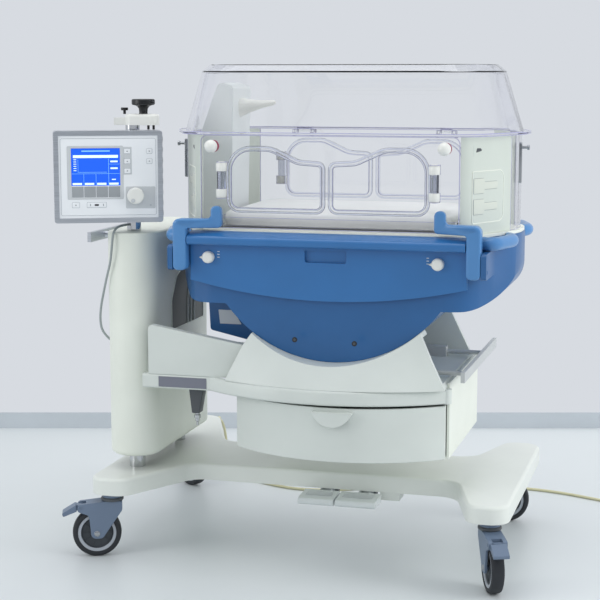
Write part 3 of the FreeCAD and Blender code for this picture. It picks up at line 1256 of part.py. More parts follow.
def make_canopy():
    """Clear double-sloped canopy with a flange round its foot."""
    mid, end, depth = CANOPY_BASE
    top_mid, top_end, top_depth = CANOPY_ROOF

    def shell(inset, z0, z1):
        levels = []
        for share, drop, z in ((0.0, 0.0, z0), (0.9, 0.0, z1 - CANOPY_SHOULDER), (1.0, 14.0, z1)):
            a = mid + (top_mid - mid) * share - inset - drop
            b = end + (top_end - end) * share - inset - drop
            c = depth + (top_depth - depth) * share - inset - drop
            levels.append(rounded_wire(body_outline(a, b, c), on_plan(z)))
        return Part.makeLoft(levels, True, True)

    cavity = shell(CANOPY_WALL, CANOPY_BOTTOM, CANOPY_TOP - CANOPY_WALL)
    canopy = shell(0, CANOPY_BOTTOM, CANOPY_TOP).cut(cavity)
    flange = plan_plate(body_outline(mid + FLANGE_OUT, end + FLANGE_OUT, depth + FLANGE_OUT),
                        CANOPY_BOTTOM, CANOPY_BOTTOM + FLANGE_THICK)
    inside = plan_plate(body_outline(mid - CANOPY_WALL, end - CANOPY_WALL, depth - CANOPY_WALL),
                        CANOPY_BOTTOM - 1, CANOPY_BOTTOM + FLANGE_THICK + 1)
    canopy = canopy.fuse(flange.cut(inside))
    y, z = CANOPY_PIVOT_Y, CANOPY_PIVOT_Z
    for x in (BODY_X - CANOPY_HINGE_X, BODY_X + CANOPY_HINGE_X):
        half = CANOPY_KNUCKLE_HALF
        knuckle = rod((x - half, y, z), (x + half, y, z), CANOPY_PIN_R + 3)
        knuckle = knuckle.fuse(box(x - half, x + half, y - 8, y + 3, z + 2, CANOPY_BOTTOM + FLANGE_THICK))
        knuckle = knuckle.cut(rod((x - half - 1, y, z), (x + half + 1, y, z), CANOPY_PIN_R + FIT))
        canopy = canopy.fuse(knuckle)
    return canopy


def canopy_brackets():
    """Brackets on the rear wall with the canopy's pins."""
    rear_face = BODY_Y + WALL_DEPTH
    y, z = CANOPY_PIVOT_Y, CANOPY_PIVOT_Z
    hinges = []
    for x in (BODY_X - CANOPY_HINGE_X, BODY_X + CANOPY_HINGE_X):
        inner, outer = CANOPY_KNUCKLE_HALF + GAP, CANOPY_KNUCKLE_HALF + 10
        pin = rod((x - outer, y, z), (x + outer, y, z), CANOPY_PIN_R)
        for side in (-1, 1):
            a, b = sorted((x + side * inner, x + side * outer))
            pin = pin.fuse(side_plate([(rear_face - 1, z - 21, 0), (y + 7, z - 8, 6), (y + 7, z, 3),
                                       (rear_face - 1, z, 0)], a, b))
        hinges.append(pin)
    return hinges


# Leads

def make_mains():
    """Mains lead from the gland along the floor, its wound length and its plug."""
    cord, radii = tube(MAINS_ROUTE, CORD_R)
    print("mains lead radii", [round(r) for r in radii])
    end = Vector(*MAINS_ROUTE[-1])
    x, y = end.x + COIL_R + COIL_AHEAD, end.y
    inner, outer = x + COIL_R - COIL_HALF_WIDTH, x + COIL_R + COIL_HALF_WIDTH
    cut = COIL_CHAMFER
    section = [(inner + cut, 0, 0), (outer - cut, 0, 0), (outer, cut, 0), (outer, COIL_HEIGHT - cut, 0),
               (outer - cut, COIL_HEIGHT, 0), (inner + cut, COIL_HEIGHT, 0), (inner, COIL_HEIGHT - cut, 0),
               (inner, cut, 0)]
    coil = Part.Face(rounded_wire(section, on_front(y))).revolve(Vector(x, y, 0), Vector(0, 0, 1), 360)
    plug = rod((outer - 1, y, PLUG_R), (outer - 1 + PLUG_LENGTH, y, PLUG_R), PLUG_R)
    return {"mains_cord": cord, "mains_coil": coil, "mains_plug": plug}


def make_monitor_cable():
    """Lead from the mast's foot down beside the column and into its left side."""
    lead, radii = tube(LEAD_ROUTE, LEAD_R)
    print("monitor lead radii", [round(r) for r in radii])
    return lead


def make_parts():
    """Every node by name."""
    parts = {
        "base_frame": make_base_frame(),
        "lift_posts": make_lift_posts(),
        "pedal_bracket": make_pedal_bracket(),
        "column_cover": make_column_cover(),
        "lift_guides": make_lift_guides(),
        "side_rail": make_side_rail(),
        "monitor_mast": make_monitor_mast(),
        "monitor_frame": make_monitor_frame(),
        "monitor_fascia": make_monitor_fascia(),
        "monitor_screen": make_monitor_screen(),
        "monitor_knob": make_monitor_knob(),
        "mast_clamp": make_mast_clamp(),
        "clamp_knob": make_clamp_knob(),
        "cradle": make_cradle(),
        "bumper": make_bumper(),
        "bumper_insert": make_bumper_insert(),
        "drawer_housing": make_drawer_housing(),
        "drawer": make_drawer(),
        "right_rail": make_right_rail(),
        "line_hook": make_line_hook(),
        "monitor_cable": make_monitor_cable(),
        "tub": make_tub(),
        "front_panel": make_front_panel(),
        "corner_handles": make_corner_handles(),
        "deck": make_deck(),
        "fan_wheel": make_fan_wheel(),
        "end_panels": make_end_panels(),
        "mattress_tray": make_mattress_tray(),
        "mattress": make_mattress(),
        "end_windows": make_end_windows(),
        "door": make_door(),
        "door_arms": make_door_arms(),
        "rear_wall": make_rear_wall(),
        "port_front_left": make_port(True, False),
        "port_front_right": make_port(False, False),
        "port_rear_left": make_port(True, True),
        "port_rear_right": make_port(False, True),
        "latch_knob_left": make_ball_knob(True),
        "latch_knob_right": make_ball_knob(False),
        "sensor_module": make_sensor_module(),
        "canopy": make_canopy(),
    }
    parts.update(make_mains())
    for name in PEDAL_SPANS:
        parts[name] = make_pedal(name)
    for name in SELECTOR_XS:
        parts[name] = make_tilt_knob(name)
    return parts


def make_casters():
    """Caster pieces at all four stems."""
    parts = {}
    for name in CASTER_STEMS:
        parts["fork_" + name] = placed_caster(make_fork(), name)
        parts["wheel_" + name] = placed_caster(make_tyre().fuse(make_hub()), name)
        parts["brake_" + name] = placed_caster(make_brake(), name)
    return parts


def main():
    os.makedirs("parts", exist_ok=True)
    parts = make_parts()
    parts.update(make_casters())
    for name, shape in parts.items():
        if not shape.isValid():
            print("not valid:", name)
        shape.exportStep("parts/" + name + ".step")
    print(len(parts), "nodes")


if __name__ == "__main__":
    main()
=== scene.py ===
"""Looks of the infant incubator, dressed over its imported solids. Metres, +Z up, the user stands at -Y."""

import json
import logging
import math
from dataclasses import dataclass
from enum import Enum
from typing import Callable, Iterable, Sequence

import bmesh
import bpy
from mathutils import Matrix, Vector

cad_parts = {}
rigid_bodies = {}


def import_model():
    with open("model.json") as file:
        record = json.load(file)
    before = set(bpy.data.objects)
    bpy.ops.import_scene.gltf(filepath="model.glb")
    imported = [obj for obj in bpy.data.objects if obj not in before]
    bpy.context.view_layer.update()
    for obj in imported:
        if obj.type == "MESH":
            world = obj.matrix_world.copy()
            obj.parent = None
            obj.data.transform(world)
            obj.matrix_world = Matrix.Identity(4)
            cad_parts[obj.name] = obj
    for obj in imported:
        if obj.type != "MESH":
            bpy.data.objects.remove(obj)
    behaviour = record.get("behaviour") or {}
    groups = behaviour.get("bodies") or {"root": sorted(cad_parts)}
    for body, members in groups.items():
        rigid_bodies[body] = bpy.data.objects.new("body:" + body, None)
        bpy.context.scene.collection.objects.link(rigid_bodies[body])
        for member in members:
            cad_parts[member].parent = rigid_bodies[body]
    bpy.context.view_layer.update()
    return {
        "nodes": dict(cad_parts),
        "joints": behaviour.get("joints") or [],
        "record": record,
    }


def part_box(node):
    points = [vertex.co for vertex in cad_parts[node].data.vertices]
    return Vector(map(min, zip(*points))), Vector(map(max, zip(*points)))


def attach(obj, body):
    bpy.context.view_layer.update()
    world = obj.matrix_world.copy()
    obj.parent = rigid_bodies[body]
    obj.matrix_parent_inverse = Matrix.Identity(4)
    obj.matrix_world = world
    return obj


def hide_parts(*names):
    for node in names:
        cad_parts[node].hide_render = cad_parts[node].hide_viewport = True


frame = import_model()

LOG = logging.getLogger("incubator")
MM = 0.001
PIVOTS = {joint["name"]: joint for joint in frame["joints"]}
BODY_OF = {node: body for body, nodes in frame["record"]["behaviour"]["bodies"].items() for node in nodes}

Point = tuple[float, float, float]
Corner = tuple[float, float, float]
Flat = tuple[float, float]
Feeds = dict[str | int, object]
Tree, Mesh, Piece = bpy.types.NodeTree, bpy.types.Mesh, bpy.types.Object
Gates = tuple[Tree, bpy.types.Node, bpy.types.Node]
UP, FRONT = Vector((0, 0, 1)), Vector((0, -1, 0))


def display(red: int, green: int, blue: int) -> tuple[float, float, float, float]:
    """Linear colour of an 8-bit display colour.

    Args:
        red: red level, 0 to 255.
        green: green level.
        blue: blue level.

    Returns:
        Linear red, green and blue, and an alpha of one.
    """
    def linear(value: int) -> float:
        """Linear share of one level."""
        share = value / 255
        return share / 12.92 if share <= 0.04045 else ((share + 0.055) / 1.055) ** 2.4

    return linear(red), linear(green), linear(blue), 1.0


def mm(x: float, y: float, z: float) -> Vector:
    """Vector in metres of a place in millimetres."""
    return Vector((x, y, z)) * MM


class Kind(Enum):
    """How a finish sends light back."""

    MOULDED = "moulded plastic"
    METAL = "bare metal"
    CLEAR = "clear acrylic"
    LIT = "lit display"
    CLOTH = "smooth cover"


@dataclass(frozen=True)
class Finish:
    """One surface finish of the incubator, in display colours and metres."""

    name: str
    colour: tuple[int, int, int]
    kind: Kind = Kind.MOULDED
    roughness: float = 0.4
    tone: float = 0.03
    patch: float = 9.0
    grain: float = 1600.0
    depth: float = 0.04
    edge: float = 0.0012
    coat: float = 0.0
    marks: float = 0.06
    glow: float = 0.0
    streak: float = 0.0


class Finishes:
    """The finishes of this incubator."""

    COAT_WHITE = Finish("satin_white_coat", (226, 230, 224), roughness=0.34, tone=0.02, coat=0.15)
    COVER_CREAM = Finish("cream_moulding", (232, 236, 226), roughness=0.42, tone=0.025)
    # Painted shade: the end panels' cream is a darker copy of COVER_CREAM, standing for the shade on these
    # side-facing panels.
    END_CREAM_SHADED = Finish("end_panel_shaded_cream", (204, 211, 203), roughness=0.42, tone=0.02)
    CRADLE_CREAM = Finish("cradle_moulding", (213, 219, 214), roughness=0.40, tone=0.025, edge=0.002)
    PANEL_BLUE = Finish("panel_blue", (44, 110, 172), roughness=0.34, tone=0.04, coat=0.3, marks=0.08)
    KEEL_BLUE = Finish("keel_blue", (36, 94, 150), roughness=0.38, tone=0.05, coat=0.2, marks=0.1)
    ARM_BLUE = Finish("arm_blue", (78, 135, 192), roughness=0.32, tone=0.04, coat=0.3, edge=0.002)
    SILVER = Finish("anodised_silver", (208, 212, 218), Kind.METAL, roughness=0.36, grain=900.0, streak=0.2)
    CHROME = Finish("polished_chrome", (196, 198, 200), Kind.METAL, roughness=0.1, tone=0.02, depth=0.0)
    STEEL = Finish("brushed_steel", (176, 179, 182), Kind.METAL, roughness=0.28, tone=0.04, grain=2200.0)
    RAIL_GREY = Finish("rail_grey", (190, 194, 194), roughness=0.34, tone=0.03)
    FASCIA = Finish("monitor_fascia", (240, 243, 246), roughness=0.36, tone=0.015)
    BEZEL = Finish("screen_bezel", (203, 207, 210), roughness=0.4, tone=0.015)
    KEY_GREY = Finish("soft_key_grey", (158, 163, 167), roughness=0.5, tone=0.05, grain=700.0, depth=0.12)
    KEY_LINE = Finish("key_outline", (178, 184, 190), roughness=0.5, tone=0.02)
    SCREEN = Finish("screen_blue", (8, 84, 214), Kind.LIT, roughness=0.2, glow=0.62)
    SCREEN_PALE = Finish("screen_pale", (196, 222, 250), Kind.LIT, roughness=0.2, glow=0.9)
    SCREEN_LINE = Finish("screen_line", (110, 170, 240), Kind.LIT, roughness=0.2, glow=0.85)
    KNOB_WHITE = Finish("knob_white", (232, 233, 228), roughness=0.3, tone=0.015, coat=0.2)
    BLACK = Finish("satin_black", (20, 21, 24), roughness=0.35, tone=0.1)
    # Dark of the key strip's window mark, and painted shade in the keel's screw holes.
    DARK_MARK_AND_SHADE = Finish("dark_mark_and_hole_shade", (40, 43, 47), roughness=0.6, tone=0.1)
    # Dark grey of the real brackets, screw heads and seals; also used as painted shade in the cable notches.
    DARK_BRACKET_AND_SHADE = Finish("dark_bracket_and_notch_shade", (78, 82, 86), roughness=0.45, tone=0.06)
    STRIP_GREY = Finish("bumper_strip", (120, 123, 135), roughness=0.55, tone=0.03)
    FORK_BLUE = Finish("caster_blue_grey", (106, 122, 144), roughness=0.42, tone=0.04, edge=0.0015)
    TREAD = Finish("dark_tread", (38, 41, 46), roughness=0.6, tone=0.12, depth=0.12)
    RING_GREY = Finish("wheel_ring", (172, 178, 186), roughness=0.45, tone=0.04)
    HUB = Finish("wheel_hub", (62, 67, 73), roughness=0.5, tone=0.08)
    PEDAL = Finish("pedal_pale", (214, 220, 220), roughness=0.22, tone=0.02, coat=0.4, edge=0.002)
    ACRYLIC = Finish("clear_acrylic", (255, 255, 255), Kind.CLEAR, roughness=0.0)
    ACRYLIC_EDGE = Finish("acrylic_edge", (186, 186, 220), roughness=0.2, tone=0.02, depth=0.0, coat=0.3)
    ACRYLIC_RIM = Finish("thick_acrylic", (238, 240, 250), Kind.CLEAR, roughness=0.03)
    CLEAR_GREY = Finish("smoked_barrel", (186, 190, 202), Kind.CLEAR, roughness=0.12)
    COLLAR_RED = Finish("latch_collar", (168, 70, 98), roughness=0.4)
    TOWER = Finish("tower_grey", (222, 227, 228), roughness=0.45, tone=0.02)
    GROMMET = Finish("grommet_plate", (208, 213, 203), roughness=0.5, tone=0.03)
    COVER_WHITE = Finish("mattress_cover", (236, 238, 238), Kind.CLOTH, roughness=0.6, tone=0.03, depth=0.1)
    CORD = Finish("mains_lead", (214, 210, 172), roughness=0.5, tone=0.03)
    LEAD = Finish("monitor_lead", (158, 166, 166), roughness=0.5, tone=0.03)
    # Painted shade: cream made slightly darker to stand for the shade in the sunk grommet plates and cable pockets.
    RECESS_SHADE = Finish("recess_painted_shade", (200, 208, 202), roughness=0.5, tone=0.03)
    # Painted shade: dark olive standing for the shade inside the column's cable bay.
    BAY_SHADE = Finish("painted_shade_bay", (84, 90, 88), roughness=0.5, tone=0.1)
    CONDUIT = Finish("pale_conduit", (206, 210, 206), roughness=0.45)
    LABEL = Finish("blank_label", (205, 212, 218), roughness=0.5, tone=0.02)


def linked(name: str, data: bpy.types.ID) -> Piece:
    """Object in the scene that holds some data.

    Args:
        name: name of the object.
        data: mesh, curve, camera or lamp that it holds.

    Returns:
        The object.
    """
    obj = bpy.data.objects.new(name, data)
    bpy.context.scene.collection.objects.link(obj)
    return obj


def feed(tree: Tree, target: bpy.types.Node, inputs: Feeds) -> None:
    """Give each input of a node its value, or its link where a socket is given.

    Args:
        tree: tree that the node is in.
        target: the node.
        inputs: value or socket of each input.
    """
    for key, value in inputs.items():
        if isinstance(value, bpy.types.NodeSocket):
            tree.links.new(value, target.inputs[key])
        else:
            target.inputs[key].default_value = value


def node(tree: Tree, kind: str, inputs: Feeds | None = None, **settings: object) -> bpy.types.Node:
    """New node of a tree with its own settings and its inputs fed.

    Args:
        tree: tree that the nodes go into.
        kind: type of the node.
        inputs: value or socket of each input.
        settings: attributes of the node.

    Returns:
        The node.
    """
    made = tree.nodes.new(kind)
    for label, value in settings.items():
        setattr(made, label, value)
    feed(tree, made, inputs or {})
    return made


def new_group(name: str, kind: str, inputs: dict[str, tuple[str, object]], outputs: dict[str, str]) -> Gates:
    """Empty group with its sockets.

    Args:
        name: the group's name.
        kind: type of the tree.
        inputs: socket type and default of each input.
        outputs: socket type of each output.

    Returns:
        The tree, its input node and its output node.
    """
    tree = bpy.data.node_groups.new(name, kind)
    for label, (form, default) in inputs.items():
        socket = tree.interface.new_socket(name=label, in_out="INPUT", socket_type="NodeSocket" + form)
        if default is not None:
            socket.default_value = default
    for label, form in outputs.items():
        tree.interface.new_socket(name=label, in_out="OUTPUT", socket_type="NodeSocket" + form)
    return tree, tree.nodes.new("NodeGroupInput"), tree.nodes.new("NodeGroupOutput")


class NodeGroups:
    """Shader node groups that several finishes share, each built once."""

    def __init__(self) -> None:
        """Build the groups."""
        self.patina = self._patina()
        self.grain = self._grain()
        self.wiped = self._wiped()
        self.brushed = self._brushed()

    @staticmethod
    def _noise(tree: Tree, scale: object, detail: float, stretch: Point | None = None) -> bpy.types.NodeSocket:
        """Noise on Object coordinates, stretched where asked.

        Args:
            tree: tree that the nodes go into.
            scale: scale of the noise, or the socket that gives it.
            detail: octaves of the noise.
            stretch: scale along each axis.

        Returns:
            Socket with the noise.
        """
        place = node(tree, "ShaderNodeTexCoord").outputs["Object"]
        if stretch:
            place = node(tree, "ShaderNodeMapping", {"Vector": place, "Scale": stretch}).outputs["Vector"]
        return node(tree, "ShaderNodeTexNoise", {"Vector": place, "Scale": scale, "Detail": detail}).outputs["Fac"]

    @staticmethod
    def _drift(tree: Tree, colour: bpy.types.NodeSocket, noise: bpy.types.NodeSocket, span: Flat,
               low: object, high: object) -> bpy.types.NodeSocket:
        """Colour scaled between two levels as the noise runs over its span.

        Args:
            tree: tree that the nodes go into.
            colour: colour to scale.
            noise: noise that moves it.
            span: noise at the low and at the high level.
            low: scale at the span's start.
            high: scale at its end.

        Returns:
            Socket with the scaled colour.
        """
        level = node(tree, "ShaderNodeMapRange", {"Value": noise, "From Min": span[0], "From Max": span[1],
                                                  "To Min": low, "To Max": high}).outputs["Result"]
        return node(tree, "ShaderNodeVectorMath", {0: colour, "Scale": level}, operation="SCALE").outputs["Vector"]

    def _patina(self) -> Tree:
        """Slow drift of a colour over the surface."""
        tree, gate, exit_ = new_group("patina", "ShaderNodeTree", {
            "Color": ("Color", (0.8, 0.8, 0.8, 1)), "Tone": ("Float", 0.03), "Scale": ("Float", 9.0)},
            {"Color": "Color", "Mask": "Float"})
        noise = self._noise(tree, gate.outputs["Scale"], 4.0)
        low, high = (node(tree, "ShaderNodeMath", {0: 1.0, 1: gate.outputs["Tone"]}, operation=way).outputs[0]
                     for way in ("SUBTRACT", "ADD"))
        feed(tree, exit_, {"Color": self._drift(tree, gate.outputs["Color"], noise, (0.3, 0.7), low, high),
                           "Mask": noise})
        return tree

    def _grain(self) -> Tree:
        """Fine moulded or brushed grain as a normal."""
        tree, gate, exit_ = new_group("fine_grain", "ShaderNodeTree", {
            "Scale": ("Float", 1600.0), "Depth": ("Float", 0.04), "Normal": ("Vector", (0, 0, 0))},
            {"Normal": "Vector"})
        bump = node(tree, "ShaderNodeBump", {
            "Distance": 0.0004, "Height": self._noise(tree, gate.outputs["Scale"], 2.0),
            "Strength": gate.outputs["Depth"], "Normal": gate.outputs["Normal"]})
        feed(tree, exit_, {"Normal": bump.outputs["Normal"]})
        return tree

    def _wiped(self) -> Tree:
        """Roughness that drifts where the surface has been wiped."""
        tree, gate, exit_ = new_group("wiped", "ShaderNodeTree", {
            "Roughness": ("Float", 0.4), "Marks": ("Float", 0.06)}, {"Roughness": "Float"})
        noise = self._noise(tree, 1.6, 5.0, (6.0, 6.0, 22.0))
        spread = node(tree, "ShaderNodeMath", {0: noise, 1: gate.outputs["Marks"], 2: gate.outputs["Roughness"]},
                      operation="MULTIPLY_ADD")
        feed(tree, exit_, {"Roughness": spread.outputs[0]})
        return tree

    def _brushed(self) -> Tree:
        """Fine level streaks of a brushed and anodised surface."""
        tree, gate, exit_ = new_group("brushed", "ShaderNodeTree", {
            "Color": ("Color", (0.7, 0.7, 0.7, 1)), "Amount": ("Float", 0.2)}, {"Color": "Color"})
        noise = self._noise(tree, 1.0, 3.0, (7.0, 7.0, 1500.0))
        low = node(tree, "ShaderNodeMath", {0: 1.0, 1: gate.outputs["Amount"]}, operation="SUBTRACT").outputs[0]
        feed(tree, exit_, {"Color": self._drift(tree, gate.outputs["Color"], noise, (0.35, 0.6), low, 1.0)})
        return tree


class PaintShop:
    """Turns finishes into materials and keeps each one."""

    def __init__(self) -> None:
        """Build the shared groups."""
        self.groups = NodeGroups()
        self.made: dict[str, bpy.types.Material] = {}

    def material(self, finish: Finish) -> bpy.types.Material:
        """Material of a finish, built on first use.

        Args:
            finish: the finish.

        Returns:
            The material.
        """
        if finish.name not in self.made:
            material = bpy.data.materials.new(finish.name)
            material.use_nodes = True
            material.node_tree.nodes.clear()
            if finish.kind is Kind.CLEAR:
                self._clear(material.node_tree, finish)
            else:
                self._solid(material.node_tree, finish)
            self.made[finish.name] = material
        return self.made[finish.name]

    def _solid(self, tree: Tree, finish: Finish) -> None:
        """Opaque shader with drift, grain, wiping marks and softened edges.

        Args:
            tree: tree of the material.
            finish: finish to build.
        """
        def shared(group: Tree, output: str, inputs: Feeds) -> bpy.types.NodeSocket:
            """Output of a shared group that is placed here with its own values."""
            return node(tree, "ShaderNodeGroup", inputs, node_tree=group).outputs[output]

        tint = display(*finish.colour)
        colour = shared(self.groups.patina, "Color", {"Color": tint, "Tone": finish.tone, "Scale": finish.patch})
        if finish.streak > 0:
            colour = shared(self.groups.brushed, "Color", {"Color": colour, "Amount": finish.streak})
        rough = shared(self.groups.wiped, "Roughness", {
            "Roughness": max(0.05, finish.roughness - finish.marks / 2), "Marks": finish.marks})
        edge = node(tree, "ShaderNodeBevel", {"Radius": finish.edge}, samples=4).outputs["Normal"]
        normal = shared(self.groups.grain, "Normal", {"Normal": edge, "Scale": finish.grain, "Depth": finish.depth})
        shader = node(tree, "ShaderNodeBsdfPrincipled", {
            "Base Color": colour, "Roughness": rough, "Normal": normal, "Coat Weight": finish.coat,
            "Coat Roughness": 0.15, "Metallic": 1.0 if finish.kind is Kind.METAL else 0.0,
            "Sheen Weight": 0.2 if finish.kind is Kind.CLOTH else 0.0})
        if finish.kind is Kind.LIT:
            feed(tree, shader, {"Emission Color": tint, "Emission Strength": finish.glow})
        node(tree, "ShaderNodeOutputMaterial", {"Surface": shader.outputs["BSDF"]})

    def _clear(self, tree: Tree, finish: Finish) -> None:
        """Clear acrylic that lets the lamps through and turns violet where it is seen edge-on.

        Args:
            tree: tree of the material.
            finish: finish to build.
        """
        facing = node(tree, "ShaderNodeLayerWeight", {"Blend": 0.12}).outputs["Facing"]
        tint = node(tree, "ShaderNodeMix", {"Factor": facing, "A": display(*finish.colour),
                                            "B": display(222, 223, 243)}, data_type="RGBA")
        shader = node(tree, "ShaderNodeBsdfPrincipled", {
            "Base Color": tint.outputs["Result"], "Transmission Weight": 1.0, "Roughness": finish.roughness,
            "IOR": 1.49})
        passing = node(tree, "ShaderNodeBsdfTransparent", {"Color": (0.99, 0.99, 0.99, 1)})
        path = node(tree, "ShaderNodeLightPath")
        mix = node(tree, "ShaderNodeMixShader", {"Fac": path.outputs["Is Shadow Ray"], 1: shader.outputs["BSDF"],
                                                 2: passing.outputs["BSDF"]})
        node(tree, "ShaderNodeOutputMaterial", {"Surface": mix.outputs["Shader"]})


PAINT = PaintShop()


class Shapes:
    """Mesh builders that the sub-assemblies share."""

    @staticmethod
    def outline(corners: Sequence[Corner], steps: int = 6) -> list[tuple[float, float]]:
        """Points of a closed outline whose corners are rounded by arcs.

        Args:
            corners: two coordinates and a radius for each corner.
            steps: straight pieces in each arc.

        Returns:
            Points in order.
        """
        points: list[tuple[float, float]] = []
        count = len(corners)
        for i, (a, b, radius) in enumerate(corners):
            here = Vector((a, b))
            if radius <= 0:
                points.append((a, b))
                continue
            back = (Vector(corners[i - 1][:2]) - here).normalized()
            ahead = (Vector(corners[(i + 1) % count][:2]) - here).normalized()
            half = back.angle(ahead) / 2
            centre = here + (back + ahead).normalized() * (radius / math.sin(half))
            start = here + back * (radius / math.tan(half)) - centre
            end = here + ahead * (radius / math.tan(half)) - centre
            sweep = math.atan2(start.x * end.y - start.y * end.x, start.dot(end))
            for k in range(steps + 1):
                turn = sweep * k / steps
                spoke = Vector((start.x * math.cos(turn) - start.y * math.sin(turn),
                                start.x * math.sin(turn) + start.y * math.cos(turn)))
                points.append(tuple(centre + spoke))
        return points

    @staticmethod
    def rect(a0: float, b0: float, a1: float, b1: float, radius: float = 0.0) -> list[Corner]:
        """Corners of a rectangle, with one radius for all."""
        return [(a0, b0, radius), (a1, b0, radius), (a1, b1, radius), (a0, b1, radius)]

    @staticmethod
    def rings(name: str, rings: Sequence[Sequence[Vector]], closed_ends: bool = True,
              looped: bool = False) -> Mesh:
        """Skin through rings of equal count, with its normals outwards.

        Args:
            name: name of the mesh.
            rings: rings of points in order along the form.
            closed_ends: put a face on the first and the last ring.
            looped: join the last ring to the first.

        Returns:
            The mesh.
        """
        bm = bmesh.new()
        made = [[bm.verts.new(p) for p in ring] for ring in rings]
        count = len(rings[0])
        pairs = list(zip(made, made[1:])) + ([(made[-1], made[0])] if looped else [])
        for lower, upper in pairs:
            for i in range(count):
                j = (i + 1) % count
                bm.faces.new((lower[i], lower[j], upper[j], upper[i]))
        if closed_ends and not looped:
            bm.faces.new(list(reversed(made[0])))
            bm.faces.new(made[-1])
        bmesh.ops.remove_doubles(bm, verts=bm.verts, dist=1e-7)
        bmesh.ops.recalc_face_normals(bm, faces=bm.faces)
        mesh = bpy.data.meshes.new(name)
        bm.to_mesh(mesh)
        bm.free()
        return mesh

    @classmethod
    def prism(cls, name: str, corners: Sequence[Corner], place: Callable[[float, float, float], Vector],
              low: float, high: float, round_: float = 0.0, steps: int = 6,
              back_round: float = 0.0) -> Mesh:
        """Plate between two depths, with its outer edges rounded.

        Args:
            name: name of the mesh.
            corners: rounded outline.
            place: turns outline coordinates and depth into a place.
            low: depth of the back.
            high: depth of the front.
            round_: radius of the front edge.
            steps: straight pieces in each corner arc.
            back_round: radius of the back edge.

        Returns:
            The mesh.
        """
        base = cls.outline(corners, steps)
        eighth = math.pi / 8
        levels = [(low + back_round * (1 - math.cos(t)), back_round * (1 - math.sin(t)))
                  for t in (0.0, eighth, 2 * eighth, 3 * eighth)] if back_round > 0 else []
        levels += [(low + back_round, 0.0), (high - round_, 0.0)]
        levels += [(high - round_ * (1 - math.sin(t)), round_ * (1 - math.cos(t)))
                   for t in (eighth, 2 * eighth, 3 * eighth, 4 * eighth)] if round_ > 0 else [(high, 0.0)]
        return cls.rings(name, [[place(a, b, depth) for a, b in cls.inset(base, shrink)]
                                for depth, shrink in levels])

    @staticmethod
    def inset(points: Sequence[tuple[float, float]], amount: float) -> list[tuple[float, float]]:
        """Outline moved inwards along its corner bisectors.

        Args:
            points: points of the closed outline.
            amount: distance inwards.

        Returns:
            Points in the same order.
        """
        if amount == 0:
            return list(points)
        area = sum(p[0] * q[1] - q[0] * p[1] for p, q in zip(points, list(points[1:]) + [points[0]]))
        sign = 1.0 if area > 0 else -1.0
        moved = []
        for i, here in enumerate(points):
            back = Vector(here) - Vector(points[i - 1])
            ahead = Vector(points[(i + 1) % len(points)]) - Vector(here)
            normal = Vector((0.0, 0.0))
            for run in (back, ahead):
                if run.length > 1e-9:
                    normal += Vector((-run.y, run.x)).normalized() * sign
            normal = normal.normalized() if normal.length > 1e-9 else normal
            moved.append((here[0] + normal.x * amount, here[1] + normal.y * amount))
        return moved

    @classmethod
    def lathe(cls, name: str, profile: Sequence[tuple[float, float]], centre: Vector, axis: Vector,
              segments: int = 64) -> Mesh:
        """Turned form about an axis.

        Args:
            name: name of the mesh.
            profile: radius and height of each point; a radius of nought is a pole.
            centre: place of height nought.
            axis: direction of height.
            segments: faces round the form.

        Returns:
            The mesh.
        """
        turn = axis.to_track_quat("Z", "Y").to_matrix()
        rings = [[centre + turn @ Vector((r * math.cos(2 * math.pi * k / segments),
                                          r * math.sin(2 * math.pi * k / segments), h))
                  for k in range(segments)] for r, h in profile]
        closed = profile[0][0] < 1e-9 and profile[-1][0] < 1e-9
        looped = not closed and profile[0][0] > 1e-9 and profile[-1][0] > 1e-9
        return cls.rings(name, rings, closed_ends=False, looped=looped)

    @staticmethod
    def merged_copy(node: str, name: str) -> Mesh:
        """Copy of a solid's mesh with its doubled corners merged.

        Args:
            node: name of the solid.
            name: name of the new mesh.

        Returns:
            The mesh.
        """
        bm = bmesh.new()
        bm.from_mesh(frame["nodes"][node].data)
        bmesh.ops.remove_doubles(bm, verts=bm.verts, dist=4e-6)
        bmesh.ops.dissolve_degenerate(bm, edges=bm.edges, dist=1e-6)
        mesh = bpy.data.meshes.new(name)
        bm.to_mesh(mesh)
        bm.free()
        for label in ("custom_normal", "sharp_face", "sharp_edge"):
            if label in mesh.attributes:
                mesh.attributes.remove(mesh.attributes[label])
        return mesh

    @staticmethod
    def spline(name: str, points: Sequence[Vector], radius: float = 0.0, order: int = 3,
               cyclic: bool = False) -> Piece:
        """NURBS curve through control points, round if it has a radius.

        Args:
            name: name of the curve.
            points: control points.
            radius: radius of the round profile.
            order: order of the curve.
            cyclic: join the last point to the first.

        Returns:
            The curve object.
        """
        curve = bpy.data.curves.new(name, "CURVE")
        curve.dimensions = "3D"
        curve.bevel_depth = radius
        curve.bevel_resolution = 6
        curve.resolution_u = 12
        curve.use_fill_caps = True
        line = curve.splines.new("NURBS")
        line.points.add(len(points) - 1)
        for spot, place in zip(line.points, points):
            spot.co = (*place, 1.0)
        line.order_u = order
        line.use_endpoint_u = not cyclic
        line.use_cyclic_u = cyclic
        return linked(name, curve)

    @classmethod
    def tube(cls, name: str, points: Sequence[Vector], radius: float) -> Mesh:
        """Round tube along a NURBS line, as a mesh.

        Args:
            name: name of the mesh.
            points: control points of the line.
            radius: radius of the tube.

        Returns:
            The mesh.
        """
        obj = cls.spline(name + "_line", points, radius)
        mesh = plain_mesh(obj, name)
        bpy.data.objects.remove(obj)
        return mesh


def plain_mesh(obj: Piece, name: str) -> Mesh:
    """Evaluated mesh of an object, with its modifiers applied.

    Args:
        obj: the object.
        name: name of the new mesh.

    Returns:
        The mesh.
    """
    bpy.context.view_layer.update()
    graph = bpy.context.evaluated_depsgraph_get()
    mesh = bpy.data.meshes.new_from_object(obj.evaluated_get(graph), depsgraph=graph)
    mesh.name = name
    return mesh


